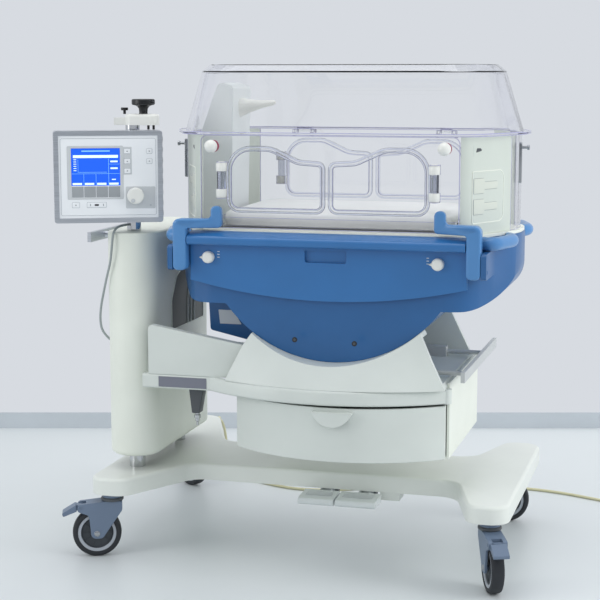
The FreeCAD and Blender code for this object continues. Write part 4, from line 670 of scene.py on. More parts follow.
class Repeater:
    """Geometry Nodes trees that repeat a small form or sweep a profile along a line."""

    def __init__(self) -> None:
        """Build the trees."""
        self.row_tree = self._row()
        self.ring_tree = self._ring()
        self.sweep_tree = self._sweep()
        self.edge_tree = self._edges()

    @staticmethod
    def _tree(name: str, inputs: dict[str, tuple[str, object]]) -> Gates:
        """Empty tree with geometry in and out, its named inputs and its finish."""
        return new_group(name, "GeometryNodeTree", {"Geometry": ("Geometry", None), **inputs,
                                                    "Finish": ("Material", None)}, {"Geometry": "Geometry"})

    @staticmethod
    def _end(tree: Tree, source: bpy.types.NodeSocket, gate: bpy.types.Node,
             exit_: bpy.types.Node) -> Tree:
        """Realize the instances and give them the finish.

        Args:
            tree: tree that the nodes go into.
            source: geometry to end with.
            gate: input node of the tree.
            exit_: output node of the tree.

        Returns:
            The finished tree.
        """
        real = node(tree, "GeometryNodeRealizeInstances", {"Geometry": source})
        paint = node(tree, "GeometryNodeSetMaterial", {"Geometry": real.outputs["Geometry"],
                                                       "Material": gate.outputs["Finish"]})
        feed(tree, exit_, {"Geometry": paint.outputs["Geometry"]})
        return tree

    @staticmethod
    def _swept(tree: Tree, curve: bpy.types.NodeSocket, gate: bpy.types.Node,
               sides: object) -> bpy.types.NodeSocket:
        """Round profile along a curve, closed at its ends.

        Args:
            tree: tree that the nodes go into.
            curve: curve to follow.
            gate: input node that gives the radius.
            sides: faces round the profile.

        Returns:
            Socket with the mesh.
        """
        circle = node(tree, "GeometryNodeCurvePrimitiveCircle", {"Resolution": sides,
                                                                 "Radius": gate.outputs["Radius"]})
        return node(tree, "GeometryNodeCurveToMesh", {"Curve": curve, "Profile Curve": circle.outputs["Curve"],
                                                      "Fill Caps": True}).outputs["Mesh"]

    def _row(self) -> Tree:
        """Equal steps along a line, starting at the form itself."""
        tree, gate, exit_ = self._tree("row_of_forms", {"Count": ("Int", 2), "Step": ("Vector", (0, 0, 0))})
        line = node(tree, "GeometryNodeMeshLine", {"Count": gate.outputs["Count"], "Offset": gate.outputs["Step"]},
                    mode="OFFSET")
        place = node(tree, "GeometryNodeInstanceOnPoints", {"Points": line.outputs["Mesh"],
                                                            "Instance": gate.outputs["Geometry"]})
        return self._end(tree, place.outputs["Instances"], gate, exit_)

    def _ring(self) -> Tree:
        """Equal turns about the vertical axis through the origin."""
        tree, gate, exit_ = self._tree("ring_of_forms", {"Count": ("Int", 8)})
        line = node(tree, "GeometryNodeMeshLine", {"Count": gate.outputs["Count"], "Offset": (0, 0, 0)},
                    mode="OFFSET")
        index = node(tree, "GeometryNodeInputIndex").outputs["Index"]
        share = node(tree, "ShaderNodeMath", {0: index, 1: gate.outputs["Count"]}, operation="DIVIDE")
        turn = node(tree, "ShaderNodeMath", {0: share.outputs[0], 1: 2 * math.pi}, operation="MULTIPLY")
        angle = node(tree, "ShaderNodeCombineXYZ", {"Z": turn.outputs[0]})
        place = node(tree, "GeometryNodeInstanceOnPoints", {
            "Points": line.outputs["Mesh"], "Instance": gate.outputs["Geometry"],
            "Rotation": angle.outputs["Vector"]})
        return self._end(tree, place.outputs["Instances"], gate, exit_)

    def _sweep(self) -> Tree:
        """Round profile swept along a curve."""
        tree, gate, exit_ = self._tree("swept_bead", {"Radius": ("Float", 0.002), "Sides": ("Int", 12)})
        return self._end(tree, self._swept(tree, gate.outputs["Geometry"], gate, gate.outputs["Sides"]), gate, exit_)

    def _edges(self) -> Tree:
        """Fine round line along every sharp edge of a form."""
        tree, gate, exit_ = self._tree("lines_on_edges", {"Angle": ("Float", 0.8), "Radius": ("Float", 0.0007)})
        bend = node(tree, "GeometryNodeInputMeshEdgeAngle").outputs["Unsigned Angle"]
        sharp = node(tree, "ShaderNodeMath", {0: bend, 1: gate.outputs["Angle"]}, operation="GREATER_THAN")
        line = node(tree, "GeometryNodeMeshToCurve", {"Mesh": gate.outputs["Geometry"],
                                                      "Selection": sharp.outputs[0]})
        return self._end(tree, self._swept(tree, line.outputs["Curve"], gate, 6), gate, exit_)

    def _run(self, obj: Piece, tree: Tree, name: str,
             values: dict[str, object]) -> Mesh:
        """Run a tree on an object and return the plain mesh; the object goes.

        Args:
            obj: object that carries the form.
            tree: tree to run.
            name: name of the new mesh.
            values: value of each named input.

        Returns:
            The mesh.
        """
        step = obj.modifiers.new("repeat", "NODES")
        step.node_group = tree
        for socket in tree.interface.items_tree:
            if socket.item_type == "SOCKET" and socket.in_out == "INPUT" and socket.name in values:
                step[socket.identifier] = values[socket.name]
        mesh = plain_mesh(obj, name)
        bpy.data.objects.remove(obj)
        return mesh

    @staticmethod
    def _carrier(mesh: Mesh) -> Piece:
        """Object that carries a form into a tree."""
        return linked(mesh.name + "_form", mesh)

    def row(self, mesh: Mesh, count: int, step: Vector, finish: Finish) -> Mesh:
        """Row of equal forms."""
        return self._run(self._carrier(mesh), self.row_tree, mesh.name,
                         {"Count": count, "Step": tuple(step), "Finish": PAINT.material(finish)})

    def ring(self, mesh: Mesh, count: int, centre: Vector, finish: Finish,
             axis: Vector = UP) -> Mesh:
        """Ring of equal forms about an axis; the form is given at the origin about +Z.

        Args:
            mesh: the form.
            count: number of forms.
            centre: place of the ring.
            finish: finish of the forms.
            axis: direction of the ring's axis.

        Returns:
            The mesh.
        """
        made = self._run(self._carrier(mesh), self.ring_tree, mesh.name,
                         {"Count": count, "Finish": PAINT.material(finish)})
        made.transform(Matrix.Translation(centre) @ axis.to_track_quat("Z", "Y").to_matrix().to_4x4())
        return made

    def edges(self, node: str, radius: float, finish: Finish, angle: float = 46.0) -> Mesh:
        """Fine lines along a solid's sharp edges."""
        return self._run(self._carrier(Shapes.merged_copy(node, node + "_lines")), self.edge_tree, node + "_lines",
                         {"Angle": math.radians(angle), "Radius": radius, "Finish": PAINT.material(finish)})

    def bead(self, name: str, points: Sequence[Vector], radius: float, finish: Finish,
             cyclic: bool = True, sides: int = 12) -> Mesh:
        """Round bead along straight runs between close points.

        Args:
            name: name of the mesh.
            points: points of the bead.
            radius: radius of the bead.
            finish: its finish.
            cyclic: close the bead.
            sides: faces round it.

        Returns:
            The mesh.
        """
        curve = bpy.data.curves.new(name + "_line", "CURVE")
        curve.dimensions = "3D"
        line = curve.splines.new("POLY")
        line.points.add(len(points) - 1)
        for spot, place in zip(line.points, points):
            spot.co = (*place, 1.0)
        line.use_cyclic_u = cyclic
        obj = linked(name + "_line", curve)
        return self._run(obj, self.sweep_tree, name,
                         {"Radius": radius, "Sides": sides, "Finish": PAINT.material(finish)})


REPEAT = Repeater()


class SubAssembly:
    """Shared ways to put pieces on a body."""

    def add(self, name: str, mesh: Mesh, finish: Finish, body: str, smooth: float = 32.0,
            replaces: Iterable[str] = ()) -> Piece:
        """Make a piece from a mesh, paint it and let it ride.

        Args:
            name: the piece's name.
            mesh: its mesh, in place.
            finish: its finish.
            body: the body it rides on.
            smooth: edges flatter than this many degrees are shaded smooth.
            replaces: solids that it stands for.

        Returns:
            The piece.
        """
        mesh.name = name
        mesh.materials.clear()
        mesh.materials.append(PAINT.material(finish))
        mesh.polygons.foreach_set("use_smooth", [True] * len(mesh.polygons))
        mesh.set_sharp_from_angle(angle=math.radians(smooth))
        obj = linked(name, mesh)
        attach(obj, body)
        stood_for = list(replaces)
        if stood_for:
            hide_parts(*stood_for)
        LOG.info("%s rides on %s", name, body)
        return obj

    def turned(self, name: str, profile: Sequence[Flat], centre: Vector, axis: Vector, segments: int, finish: Finish,
               body: str, smooth: float = 32.0, replaces: Iterable[str] = ()) -> Piece:
        """Turned form as one piece."""
        return self.add(name, Shapes.lathe(name, profile, centre, axis, segments), finish, body, smooth, replaces)

    def row(self, name: str, mesh: Mesh, count: int, step: Vector, finish: Finish, body: str) -> Piece:
        """Row of equal forms as one piece."""
        return self.add(name, REPEAT.row(mesh, count, step, finish), finish, body)

    def bead(self, name: str, points: Sequence[Vector], radius: float, finish: Finish, body: str,
             smooth: float = 32.0, sides: int = 12) -> Piece:
        """Round bead along a closed line as one piece."""
        return self.add(name, REPEAT.bead(name, points, radius, finish, sides=sides), finish, body, smooth)

    def lines(self, node: str, radius: float = 0.0006) -> None:
        """Fine violet lines where clear acrylic is cut or bent sharply."""
        self.add(node + "_lines", REPEAT.edges(node, radius, Finishes.ACRYLIC_EDGE), Finishes.ACRYLIC_EDGE,
                 BODY_OF[node])

    def dress(self, node: str, finish: Finish, smooth: float = 32.0) -> Piece:
        """Show a solid with merged corners, smooth curves and its finish."""
        name = node + "_skin"
        return self.add(name, Shapes.merged_copy(node, name), finish, BODY_OF[node], smooth, (node,))

    def paint(self, node: str, finish: Finish) -> None:
        """Give a solid that shows as it is its finish.

        Args:
            node: name of the solid.
            finish: its finish.
        """
        mesh = frame["nodes"][node].data
        mesh.materials.clear()
        mesh.materials.append(PAINT.material(finish))


def before(a: float, b: float, d: float) -> Vector:
    """Place in the front view: across, up, and towards the user."""
    return Vector((a, -d, b))


def sideways(start: float, sign: int = 1) -> Callable[[float, float, float], Vector]:
    """Placing on a side face: back, up, and outwards from where the face stands."""
    return lambda a, b, d: Vector((start + sign * d, a, b))


def about(centre: Vector, angle: float, far: float, height: float) -> Vector:
    """Place at an angle and a distance from a centre, at its own height."""
    return Vector((centre.x + far * math.cos(angle), centre.y + far * math.sin(angle), height))


def centre_of(node: str) -> Vector:
    """Middle of a solid's box."""
    low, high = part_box(node)
    return (low + high) / 2


@dataclass
class Casters(SubAssembly):
    """Four casters: blue-grey forks, dark tread, light ring and dark hub."""

    radius: float = 0.0625
    width: float = 0.032
    ring_outer: float = 0.049
    ring_inner: float = 0.041
    hub_rise: float = 0.0115

    def wheel(self, name: str) -> None:
        """Tread, ring, hub and ribs of one wheel.

        Args:
            name: corner of the trolley that it stands at.
        """
        node = "wheel_" + name
        body = BODY_OF[node]
        centre = centre_of(node)
        axis = Vector(PIVOTS["roller_" + name + "_spin"]["axis"]).normalized()
        half = self.width / 2
        r = self.radius
        tread = [(self.ring_outer, -half + 0.001), (r - 0.008, -half), (r - 0.003, -half + 0.002),
                 (r - 0.0006, -half + 0.006), (r, 0.0), (r - 0.0006, half - 0.006), (r - 0.003, half - 0.002),
                 (r - 0.008, half), (self.ring_outer, half - 0.001), (self.ring_outer - 0.004, 0.0)]
        self.turned(node + "_tread", tread, centre, axis, 96, Finishes.TREAD, body, replaces=(node,))
        ring = [(self.ring_inner, -half + 0.0035), (self.ring_inner + 0.001, -half + 0.002),
                (self.ring_outer, -half + 0.002), (self.ring_outer, half - 0.002),
                (self.ring_inner + 0.001, half - 0.002), (self.ring_inner, half - 0.0035)]
        self.turned(node + "_ring", ring, centre, axis, 96, Finishes.RING_GREY, body)
        hub = [(0.0061, -self.hub_rise), (0.016, -self.hub_rise), (0.018, -self.hub_rise + 0.004),
               (self.ring_inner - 0.003, -self.hub_rise + 0.005), (self.ring_inner + 0.001, -half + 0.004),
               (self.ring_inner + 0.001, half - 0.004), (self.ring_inner - 0.003, self.hub_rise - 0.005),
               (0.018, self.hub_rise - 0.004), (0.016, self.hub_rise), (0.0061, self.hub_rise)]
        self.turned(node + "_hub", hub, centre, axis, 72, Finishes.HUB, body)
        rib = Shapes.prism("rib", Shapes.rect(0.018, -0.0012, self.ring_inner - 0.002, 0.0012),
                           lambda a, b, d: Vector((a, b, d)), -self.hub_rise + 0.0035, self.hub_rise - 0.0035)
        self.add(node + "_ribs", REPEAT.ring(rib, 10, centre, Finishes.HUB, axis), Finishes.HUB, body)

    def build(self) -> None:
        """All four casters."""
        for name in ("front_left", "front_right", "rear_left", "rear_right"):
            self.wheel(name)
            self.dress("fork_" + name, Finishes.FORK_BLUE, 28)
            self.dress("brake_" + name, Finishes.FORK_BLUE, 28)
            fork = centre_of("wheel_" + name)
            axis = Vector(PIVOTS["roller_" + name + "_spin"]["axis"]).normalized()
            body = BODY_OF["fork_" + name]
            for side in (-1, 1):
                cap = [(0.0, 0.0255), (0.004, 0.0255), (0.0062, 0.0245), (0.0075, 0.0238), (0.0075, 0.0225),
                       (0.0, 0.0225)]
                self.turned("axle_cap_%s_%s" % (name, "out" if side > 0 else "in"), cap, fork, axis * side, 32,
                            Finishes.STEEL, body)
            stem = Vector(PIVOTS["swivel_" + name + "_turn"]["pos_m"])
            seal = [(0.0, 0.0), (0.027, 0.0), (0.029, 0.002), (0.029, 0.006), (0.026, 0.009), (0.0, 0.009)]
            self.turned("swivel_seal_" + name, seal, Vector((stem.x, stem.y, 0.1455)), UP, 48,
                        Finishes.DARK_BRACKET_AND_SHADE, body)


@dataclass
class Trolley(SubAssembly):
    """Base casting, posts and pedals."""

    def build(self) -> None:
        """Dress the base, its posts and its pedals."""
        self.dress("base_frame", Finishes.COAT_WHITE, 28)
        self.dress("lift_posts", Finishes.CHROME)
        self.dress("pedal_bracket", Finishes.DARK_BRACKET_AND_SHADE)
        for name in ("pedal_raise", "pedal_lower"):
            self.dress(name, Finishes.PEDAL)
            low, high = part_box(name)
            corners = Shapes.rect(low.x + 0.012, high.z - 0.0016, high.x - 0.012, high.z + 0.0004, 0.0005)
            rib = Shapes.prism("rib", corners, lambda a, b, d: Vector((a, d, b)), low.y + 0.030, low.y + 0.033,
                               steps=2)
            self.row(name + "_ribs", rib, 4, Vector((0, 0.010, 0)), Finishes.PEDAL, BODY_OF[name])


@dataclass
class Column(SubAssembly):
    """Lift column with its cover, rail, mast and clamp."""

    def build(self) -> None:
        """Dress the column and what stands on it."""
        self.dress("column_cover", Finishes.COVER_CREAM, 28)
        self.paint("lift_guides", Finishes.STEEL)
        self.dress("side_rail", Finishes.SILVER)
        self.dress("monitor_mast", Finishes.CHROME)
        self.dress("mast_clamp", Finishes.KNOB_WHITE, 28)
        self.knob()
        self.clamp_parts()
        self.bay()

    def clamp_parts(self) -> None:
        """Small set screw on the clamp and the pins below it."""
        low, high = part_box("mast_clamp")
        spot = Vector((low.x + 0.024, (low.y + high.y) / 2, high.z))
        screw = [(0.0, -0.001), (0.0035, -0.001), (0.0035, 0.008), (0.0088, 0.0085), (0.0092, 0.010),
                 (0.0092, 0.0145), (0.0084, 0.0155), (0.0, 0.0157)]
        self.turned("clamp_set_screw", screw, spot, UP, 40, Finishes.BLACK, "lift")
        pin = Shapes.lathe("pin", [(0.0, 0.0), (0.0032, 0.0), (0.0032, 0.010), (0.0022, 0.0115), (0.0, 0.0115)],
                           Vector((high.x - 0.026, spot.y, low.z)), Vector((0, 0, -1)), 24)
        self.row("clamp_pins", pin, 2, Vector((0.014, 0, 0)), Finishes.BLACK, "lift")

    def bay(self) -> None:
        """Cable bay on the column's side: a flat dark plate of painted shade, with its pale conduits."""
        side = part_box("column_cover")[1].x
        corners = [(-0.130, 0.560, 0.004), (0.120, 0.560, 0.004), (0.120, 0.705, 0.006), (0.040, 0.742, 0.050),
                   (-0.090, 0.700, 0.040), (-0.130, 0.640, 0.030)]
        # The dark plate is painted shade: the bay's recess is drawn flat and darkened where shade falls in it.
        plate = Shapes.prism("bay", corners, sideways(side), -0.001, 0.0006, 0.0003, 6)
        self.add("painted_shade_bay", plate, Finishes.BAY_SHADE, "lift")
        rim = [Vector((side + 0.0005, a, b)) for a, b in Shapes.outline(corners, 6)]
        self.bead("cable_bay_rim", rim, 0.0016, Finishes.COVER_CREAM, "lift")
        for k, (foot, top) in enumerate(((-0.010, 0.045), (0.014, 0.062), (0.040, 0.078))):
            run = [Vector((side + 0.0012, a, b)) for a, b in (
                (foot, 0.562), (foot + 0.002, 0.620), (foot + 0.012, 0.660), (top, 0.690), (top + 0.012, 0.704))]
            self.add("bay_conduit_%d" % k, Shapes.tube("conduit", run, 0.0032), Finishes.CONDUIT, "lift", 60)

    def knob(self) -> None:
        """Black turned clamping knob."""
        low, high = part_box("clamp_knob")
        centre = Vector(((low.x + high.x) / 2, (low.y + high.y) / 2, high.z))
        radius = (high.x - low.x) / 2
        profile = [(0.0, -0.0015), (0.010, -0.0012), (0.012, 0.0), (radius - 0.003, 0.0), (radius - 0.0008, -0.0014),
                   (radius, -0.004), (radius, -0.012), (radius - 0.002, -0.0145), (radius - 0.010, -0.0165),
                   (0.015, -0.019), (0.0115, -0.024), (0.0105, -0.034), (0.0125, -0.044), (0.0125, -0.051),
                   (0.0, -0.051)]
        self.turned("clamp_knob_turned", profile, centre, UP, 72, Finishes.BLACK, "clamp_screw",
                    replaces=("clamp_knob",))


@dataclass
class Monitor(SubAssembly):
    """Monitor in a silver frame; its face is drawn in its own width and height."""

    angle: float = math.radians(25)
    front: float = 80.0
    right: float = 69.0
    bottom: float = 858.0
    mark_out: float = -0.3
    mark_back: float = -0.6
    field_step: float = 30.2

    def place(self, u: float, z: float, out: float) -> Vector:
        """Place of a point on the face, out millimetres in front of the fascia.

        Args:
            u: place across the face, in millimetres.
            z: height over the floor, in millimetres.
            out: distance in front of the fascia, in millimetres.

        Returns:
            The place in metres.
        """
        mast = centre_of("monitor_mast")
        away = -(self.front - 2.0 + out) * MM
        c, s = math.cos(self.angle), math.sin(self.angle)
        return Vector((mast.x + u * MM * c - away * s, mast.y + u * MM * s + away * c, z * MM))

    def slab(self, name: str, u0: float, u1: float, z0: float, z1: float, out: float, finish: Finish,
             corner: float = 1.0, back: float = -0.3, round_: float = 0.25) -> Piece:
        """Thin rounded plate on the face."""
        mesh = Shapes.prism(name, Shapes.rect(u0, z0, u1, z1, corner), self.place, back, out, round_, 4)
        return self.add(name, mesh, finish, "monitor")

    def build(self) -> None:
        """Frame, fascia, screen, keys and knob."""
        self.dress("monitor_frame", Finishes.SILVER, 28)
        self.dress("monitor_fascia", Finishes.FASCIA)
        self.paint("monitor_screen", Finishes.SCREEN)
        self.trim()
        self.bezel()
        self.screen()
        self.keys()
        self.knob()

    def trim(self) -> None:
        """Fine line round the fascia and grip ridges on the frame's right side."""
        edge = Shapes.outline(Shapes.rect(-184, 877, 52, 1068, 4), 5)
        line = [self.place(a, b, 0.1) for a, b in edge]
        self.bead("fascia_line", line, 0.0005, Finishes.KEY_LINE, "monitor", sides=6)
        start = self.place(self.right - 0.5, self.bottom + 22, -10)
        out = (self.place(self.right, self.bottom, 0) - self.place(0, self.bottom, 0)).normalized()
        ridge = [(0.0, 0.0), (0.009, 0.0), (0.0085, 0.0012), (0.006, 0.0020), (0.0, 0.0024)]
        mesh = Shapes.lathe("ridge", ridge, start, out, 24)
        self.row("frame_ridges", mesh, 8, Vector((0, 0, 0.0265)), Finishes.SILVER, "monitor")

    def bezel(self) -> None:
        """Pale frame round the screen and the soft keys."""
        outer = Shapes.outline(Shapes.rect(-168, 917, -29, 1050, 3), 4)
        inner = Shapes.outline(Shapes.rect(-158, 921, -37, 1044, 1), 4)
        rings = [[self.place(a, b, 0.0) for a, b in outer], [self.place(a, b, 0.5) for a, b in outer],
                 [self.place(a, b, 0.8) for a, b in Shapes.inset(outer, 0.4)],
                 [self.place(a, b, 0.8) for a, b in inner], [self.place(a, b, -0.6) for a, b in inner]]
        self.add("screen_bezel", Shapes.rings("bezel", rings, looped=True), Finishes.BEZEL, "monitor")
        key = Shapes.prism("key", Shapes.rect(-157, 922, -128.3, 949, 1), self.place, -0.8, 0.6, 0.4, 3)
        step = self.place(self.field_step, 0, 0) - self.place(0, 0, 0)
        self.row("soft_keys", key, 4, step, Finishes.KEY_GREY, "monitor")

    def screen(self) -> None:
        """Bright fields and lines of the display, with no words."""
        def bar(label: str, u0: float, u1: float, z0: float, z1: float, finish: Finish) -> None:
            """Flat mark on the screen."""
            self.slab("screen_" + label, u0, u1, z0, z1, self.mark_out, finish, 0.2, self.mark_back, 0.0)

        def repeated(label: str, u0: float, u1: float, z0: float, z1: float, corner: float, count: int, step: Vector,
                     finish: Finish) -> None:
            """Row of equal flat marks on the screen."""
            mesh = Shapes.prism(label, Shapes.rect(u0, z0, u1, z1, corner), self.place, self.mark_back,
                                self.mark_out, 0.0, 1)
            self.row("screen_" + label, mesh, count, step, finish, "monitor")

        pale, line = Finishes.SCREEN_PALE, Finishes.SCREEN_LINE
        bar("status", -153, -42, 1020, 1027, pale)
        bar("title", -132, -62, 1035.5, 1038.5, line)
        bar("chart_left", -141.5, -140.7, 985, 1016, line)
        bar("chart_foot", -141.5, -70, 984, 984.9, line)
        bar("divide_side", -66, -65, 951, 1018, line)
        bar("divide_low", -157, -38, 980.4, 981.2, line)
        bar("divide_cell", -65, -38, 1004, 1004.8, line)
        up = self.place(0, 5.4, 0) - self.place(0, 0, 0)
        across = self.place(self.field_step, 0, 0) - self.place(0, 0, 0)
        repeated("scale", -152, -145, 988, 989.6, 0.1, 6, up, pale)
        repeated("fields", -155, -132, 953, 958, 0.2, 4, across, pale)
        repeated("splits", -127.6, -126.8, 951, 980, 0.1, 2, across, line)
        bar("value_high", -61, -43, 1009, 1013, pale)
        bar("value_low", -61, -43, 992, 996, pale)
        bar("trend", -58, -48, 965, 967.5, pale)

    def keys(self) -> None:
        """Membrane keys: pale pads with a fine outline."""
        for i, (u, z, w, h) in enumerate(((-19, 1036, 17, 13), (-19, 1011, 17, 13), (-19, 987, 17, 13),
                                          (36, 1036, 15, 13), (36, 1011, 15, 13), (-148, 903, 19, 14))):
            self.slab("key_line_%d" % i, u - w / 2, u + w / 2, z - h / 2, z + h / 2, 0.35, Finishes.KEY_LINE, 2)
            self.slab("key_pad_%d" % i, u - w / 2 + 0.8, u + w / 2 - 0.8, z - h / 2 + 0.8, z + h / 2 - 0.8, 0.6,
                      Finishes.FASCIA, 1.6)
            self.slab("key_dot_%d" % i, u - 2.0, u + 2.0, z - 1.4, z + 1.4, 0.75, Finishes.KEY_GREY, 1.2, 0.3)
        self.slab("key_strip", -121, -72, 896, 910, 0.4, Finishes.KEY_LINE, 2)
        self.slab("key_strip_pad", -120.2, -72.8, 896.8, 909.2, 0.6, Finishes.FASCIA, 1.6)
        self.slab("key_strip_dark", -102, -91, 900.5, 905, 0.8, Finishes.DARK_MARK_AND_SHADE, 2)
        for i, u in enumerate((-112, -80)):
            self.slab("key_strip_mark_%d" % i, u - 1, u + 1, 900, 906, 0.8, Finishes.KEY_GREY, 0.8)
        self.slab("key_rail", -30, -8, 978, 1047, 0.2, Finishes.BEZEL, 2)

    def knob(self) -> None:
        """Rotary knob with a finger dimple on a grey pad."""
        self.slab("knob_pad", -24, 50, 893, 948, 0.25, Finishes.BEZEL, 3)
        self.slab("knob_pad_lamp", 36, 40, 899, 903, 0.8, Finishes.KEY_LINE, 1.9)
        centre = self.place(0, 925, 0)
        axis = (self.place(0, 925, 10) - centre).normalized()
        profile = [(0.0, 0.0185), (0.010, 0.0187), (0.0165, 0.0192), (0.0188, 0.0185), (0.0200, 0.0165),
                   (0.0207, 0.012), (0.021, 0.0015), (0.0, 0.0015)]
        self.turned("menu_knob_turned", profile, centre, axis, 72, Finishes.KNOB_WHITE, "menu_knob",
                    replaces=("monitor_knob",))
        dimple = self.place(-7, 914, 18.9)
        self.turned("menu_knob_dimple", [(0.0, 0.0), (0.0042, 0.0), (0.005, 0.0006), (0.0, 0.0008)], dimple, axis,
                    32, Finishes.BEZEL, "menu_knob")


@dataclass
class Cradle(SubAssembly):
    """Cradle with bumper, drawer and rails."""

    def build(self) -> None:
        """Dress the cradle and what it carries."""
        self.dress("cradle", Finishes.CRADLE_CREAM, 26)
        self.dress("bumper", Finishes.CRADLE_CREAM, 28)
        self.dress("bumper_insert", Finishes.STRIP_GREY)
        self.dress("drawer_housing", Finishes.COVER_CREAM)
        self.dress("drawer", Finishes.CRADLE_CREAM, 28)
        self.dress("right_rail", Finishes.RAIL_GREY)
        self.hook()

    def hook(self) -> None:
        """Dark bracket under the arm with its chromed hose connector."""
        low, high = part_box("line_hook")
        x, y = (low.x + high.x) / 2, (low.y + high.y) / 2
        plate = Shapes.prism("hook", [(low.x, high.z - 0.001, 0.001), (high.x, high.z - 0.001, 0.001),
                                      (high.x - 0.003, high.z - 0.050, 0.010), (x + 0.010, low.z + 0.034, 0.004),
                                      (x - 0.010, low.z + 0.034, 0.004), (low.x + 0.006, high.z - 0.050, 0.010)],
                             lambda a, b, d: Vector((a, y - d, b)), -0.014, 0.016, 0.003, 5, 0.003)
        self.add("hose_bracket", plate, Finishes.DARK_BRACKET_AND_SHADE, "lift", replaces=("line_hook",))
        end = [(0.0, 0.036), (0.0060, 0.036), (0.0060, 0.029), (0.0085, 0.028), (0.0085, 0.020), (0.0060, 0.019),
               (0.0060, 0.012), (0.0036, 0.010), (0.0036, 0.001), (0.0, 0.0)]
        self.turned("hose_connector", end, Vector((x, y, low.z)), UP, 32, Finishes.CHROME, "lift")


@dataclass
class Tub(SubAssembly):
    """Blue tub with panel, handles and selectors; faces are given as metres before the origin."""

    panel_face: float = 0.315
    box_face: float = 0.1802

    def build(self) -> None:
        """Dress the tub and add its small pieces."""
        self.dress("tub", Finishes.KEEL_BLUE, 26)
        self.dress("front_panel", Finishes.PANEL_BLUE, 28)
        self.dress("corner_handles", Finishes.ARM_BLUE, 40)
        self.dress("deck", Finishes.COVER_CREAM)
        self.paint("fan_wheel", Finishes.BLACK)
        self.screws()
        self.selectors()
        self.label()

    def screws(self) -> None:
        """Dark screw holes in the keel, drawn as flat dark discs of painted shade, with their screws deep inside."""
        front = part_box("tub")[0].y
        for label, x, z in (("left", 37, 588), ("right", 186, 585)):
            centre = Vector((x * MM, front, z * MM))
            rim = [(0.0, 0.0002), (0.0052, 0.0002), (0.0058, 0.0006), (0.0064, 0.0004), (0.0066, -0.001),
                   (0.0, -0.001)]
            # Painted shade: a dark disc on the surface stands for the depth of the hole.
            self.turned("screw_hole_shade_" + label, rim, centre, FRONT, 40, Finishes.DARK_MARK_AND_SHADE, "tub")
            head = [(0.0, 0.0006), (0.0026, 0.0008), (0.0036, 0.0002), (0.0, 0.0002)]
            self.turned("screw_head_" + label, head, centre, FRONT, 24, Finishes.DARK_BRACKET_AND_SHADE, "tub")

    def selectors(self) -> None:
        """Cream selector knobs with printed ticks beside them."""
        for name in ("tilt_knob_left", "tilt_knob_right"):
            pivot = Vector(PIVOTS[name + "_turn"]["pos_m"])
            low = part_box(name)[0]
            centre = Vector((pivot.x, low.y, pivot.z))
            profile = [(0.0, 0.0), (0.009, -0.0002), (0.0125, -0.0016), (0.0143, -0.004), (0.015, -0.008),
                       (0.015, -0.0155), (0.0, -0.0155)]
            self.turned(name + "_dome", profile, centre, FRONT, 64, Finishes.KNOB_WHITE, name, replaces=(name,))
            wedge = [(pivot.x - 0.022, pivot.z, 0.001), (pivot.x - 0.006, pivot.z - 0.008, 0.001),
                     (pivot.x - 0.006, pivot.z + 0.008, 0.001)]
            pointer = Shapes.prism("pointer", wedge, before, -(low.y + 0.0155), -(low.y + 0.003), 0.0015, 4)
            self.add(name + "_pointer", pointer, Finishes.KNOB_WHITE, name)
            side = 1 if name.endswith("left") else -1
            corners = Shapes.rect(pivot.x + side * 0.022, pivot.z - 0.001, pivot.x + side * 0.028, pivot.z + 0.001,
                                  0.0003)
            tick = Shapes.prism("tick", corners, before, self.panel_face - 0.0002, self.panel_face + 0.0002, 0.0, 2)
            self.row(name + "_ticks", tick, 3, Vector((0, 0, 0.007)), Finishes.LABEL, "tub")

    def label(self) -> None:
        """Bare label plate of the service box."""
        corners = [(-0.208, 0.592, 0.001), (-0.150, 0.592, 0.001), (-0.172, 0.628, 0.001), (-0.212, 0.628, 0.001)]
        plate = Shapes.prism("label", corners, before, self.box_face - 0.0002, self.box_face + 0.0006, 0.0, 3)
        self.add("service_label", plate, Finishes.LABEL, "tub")


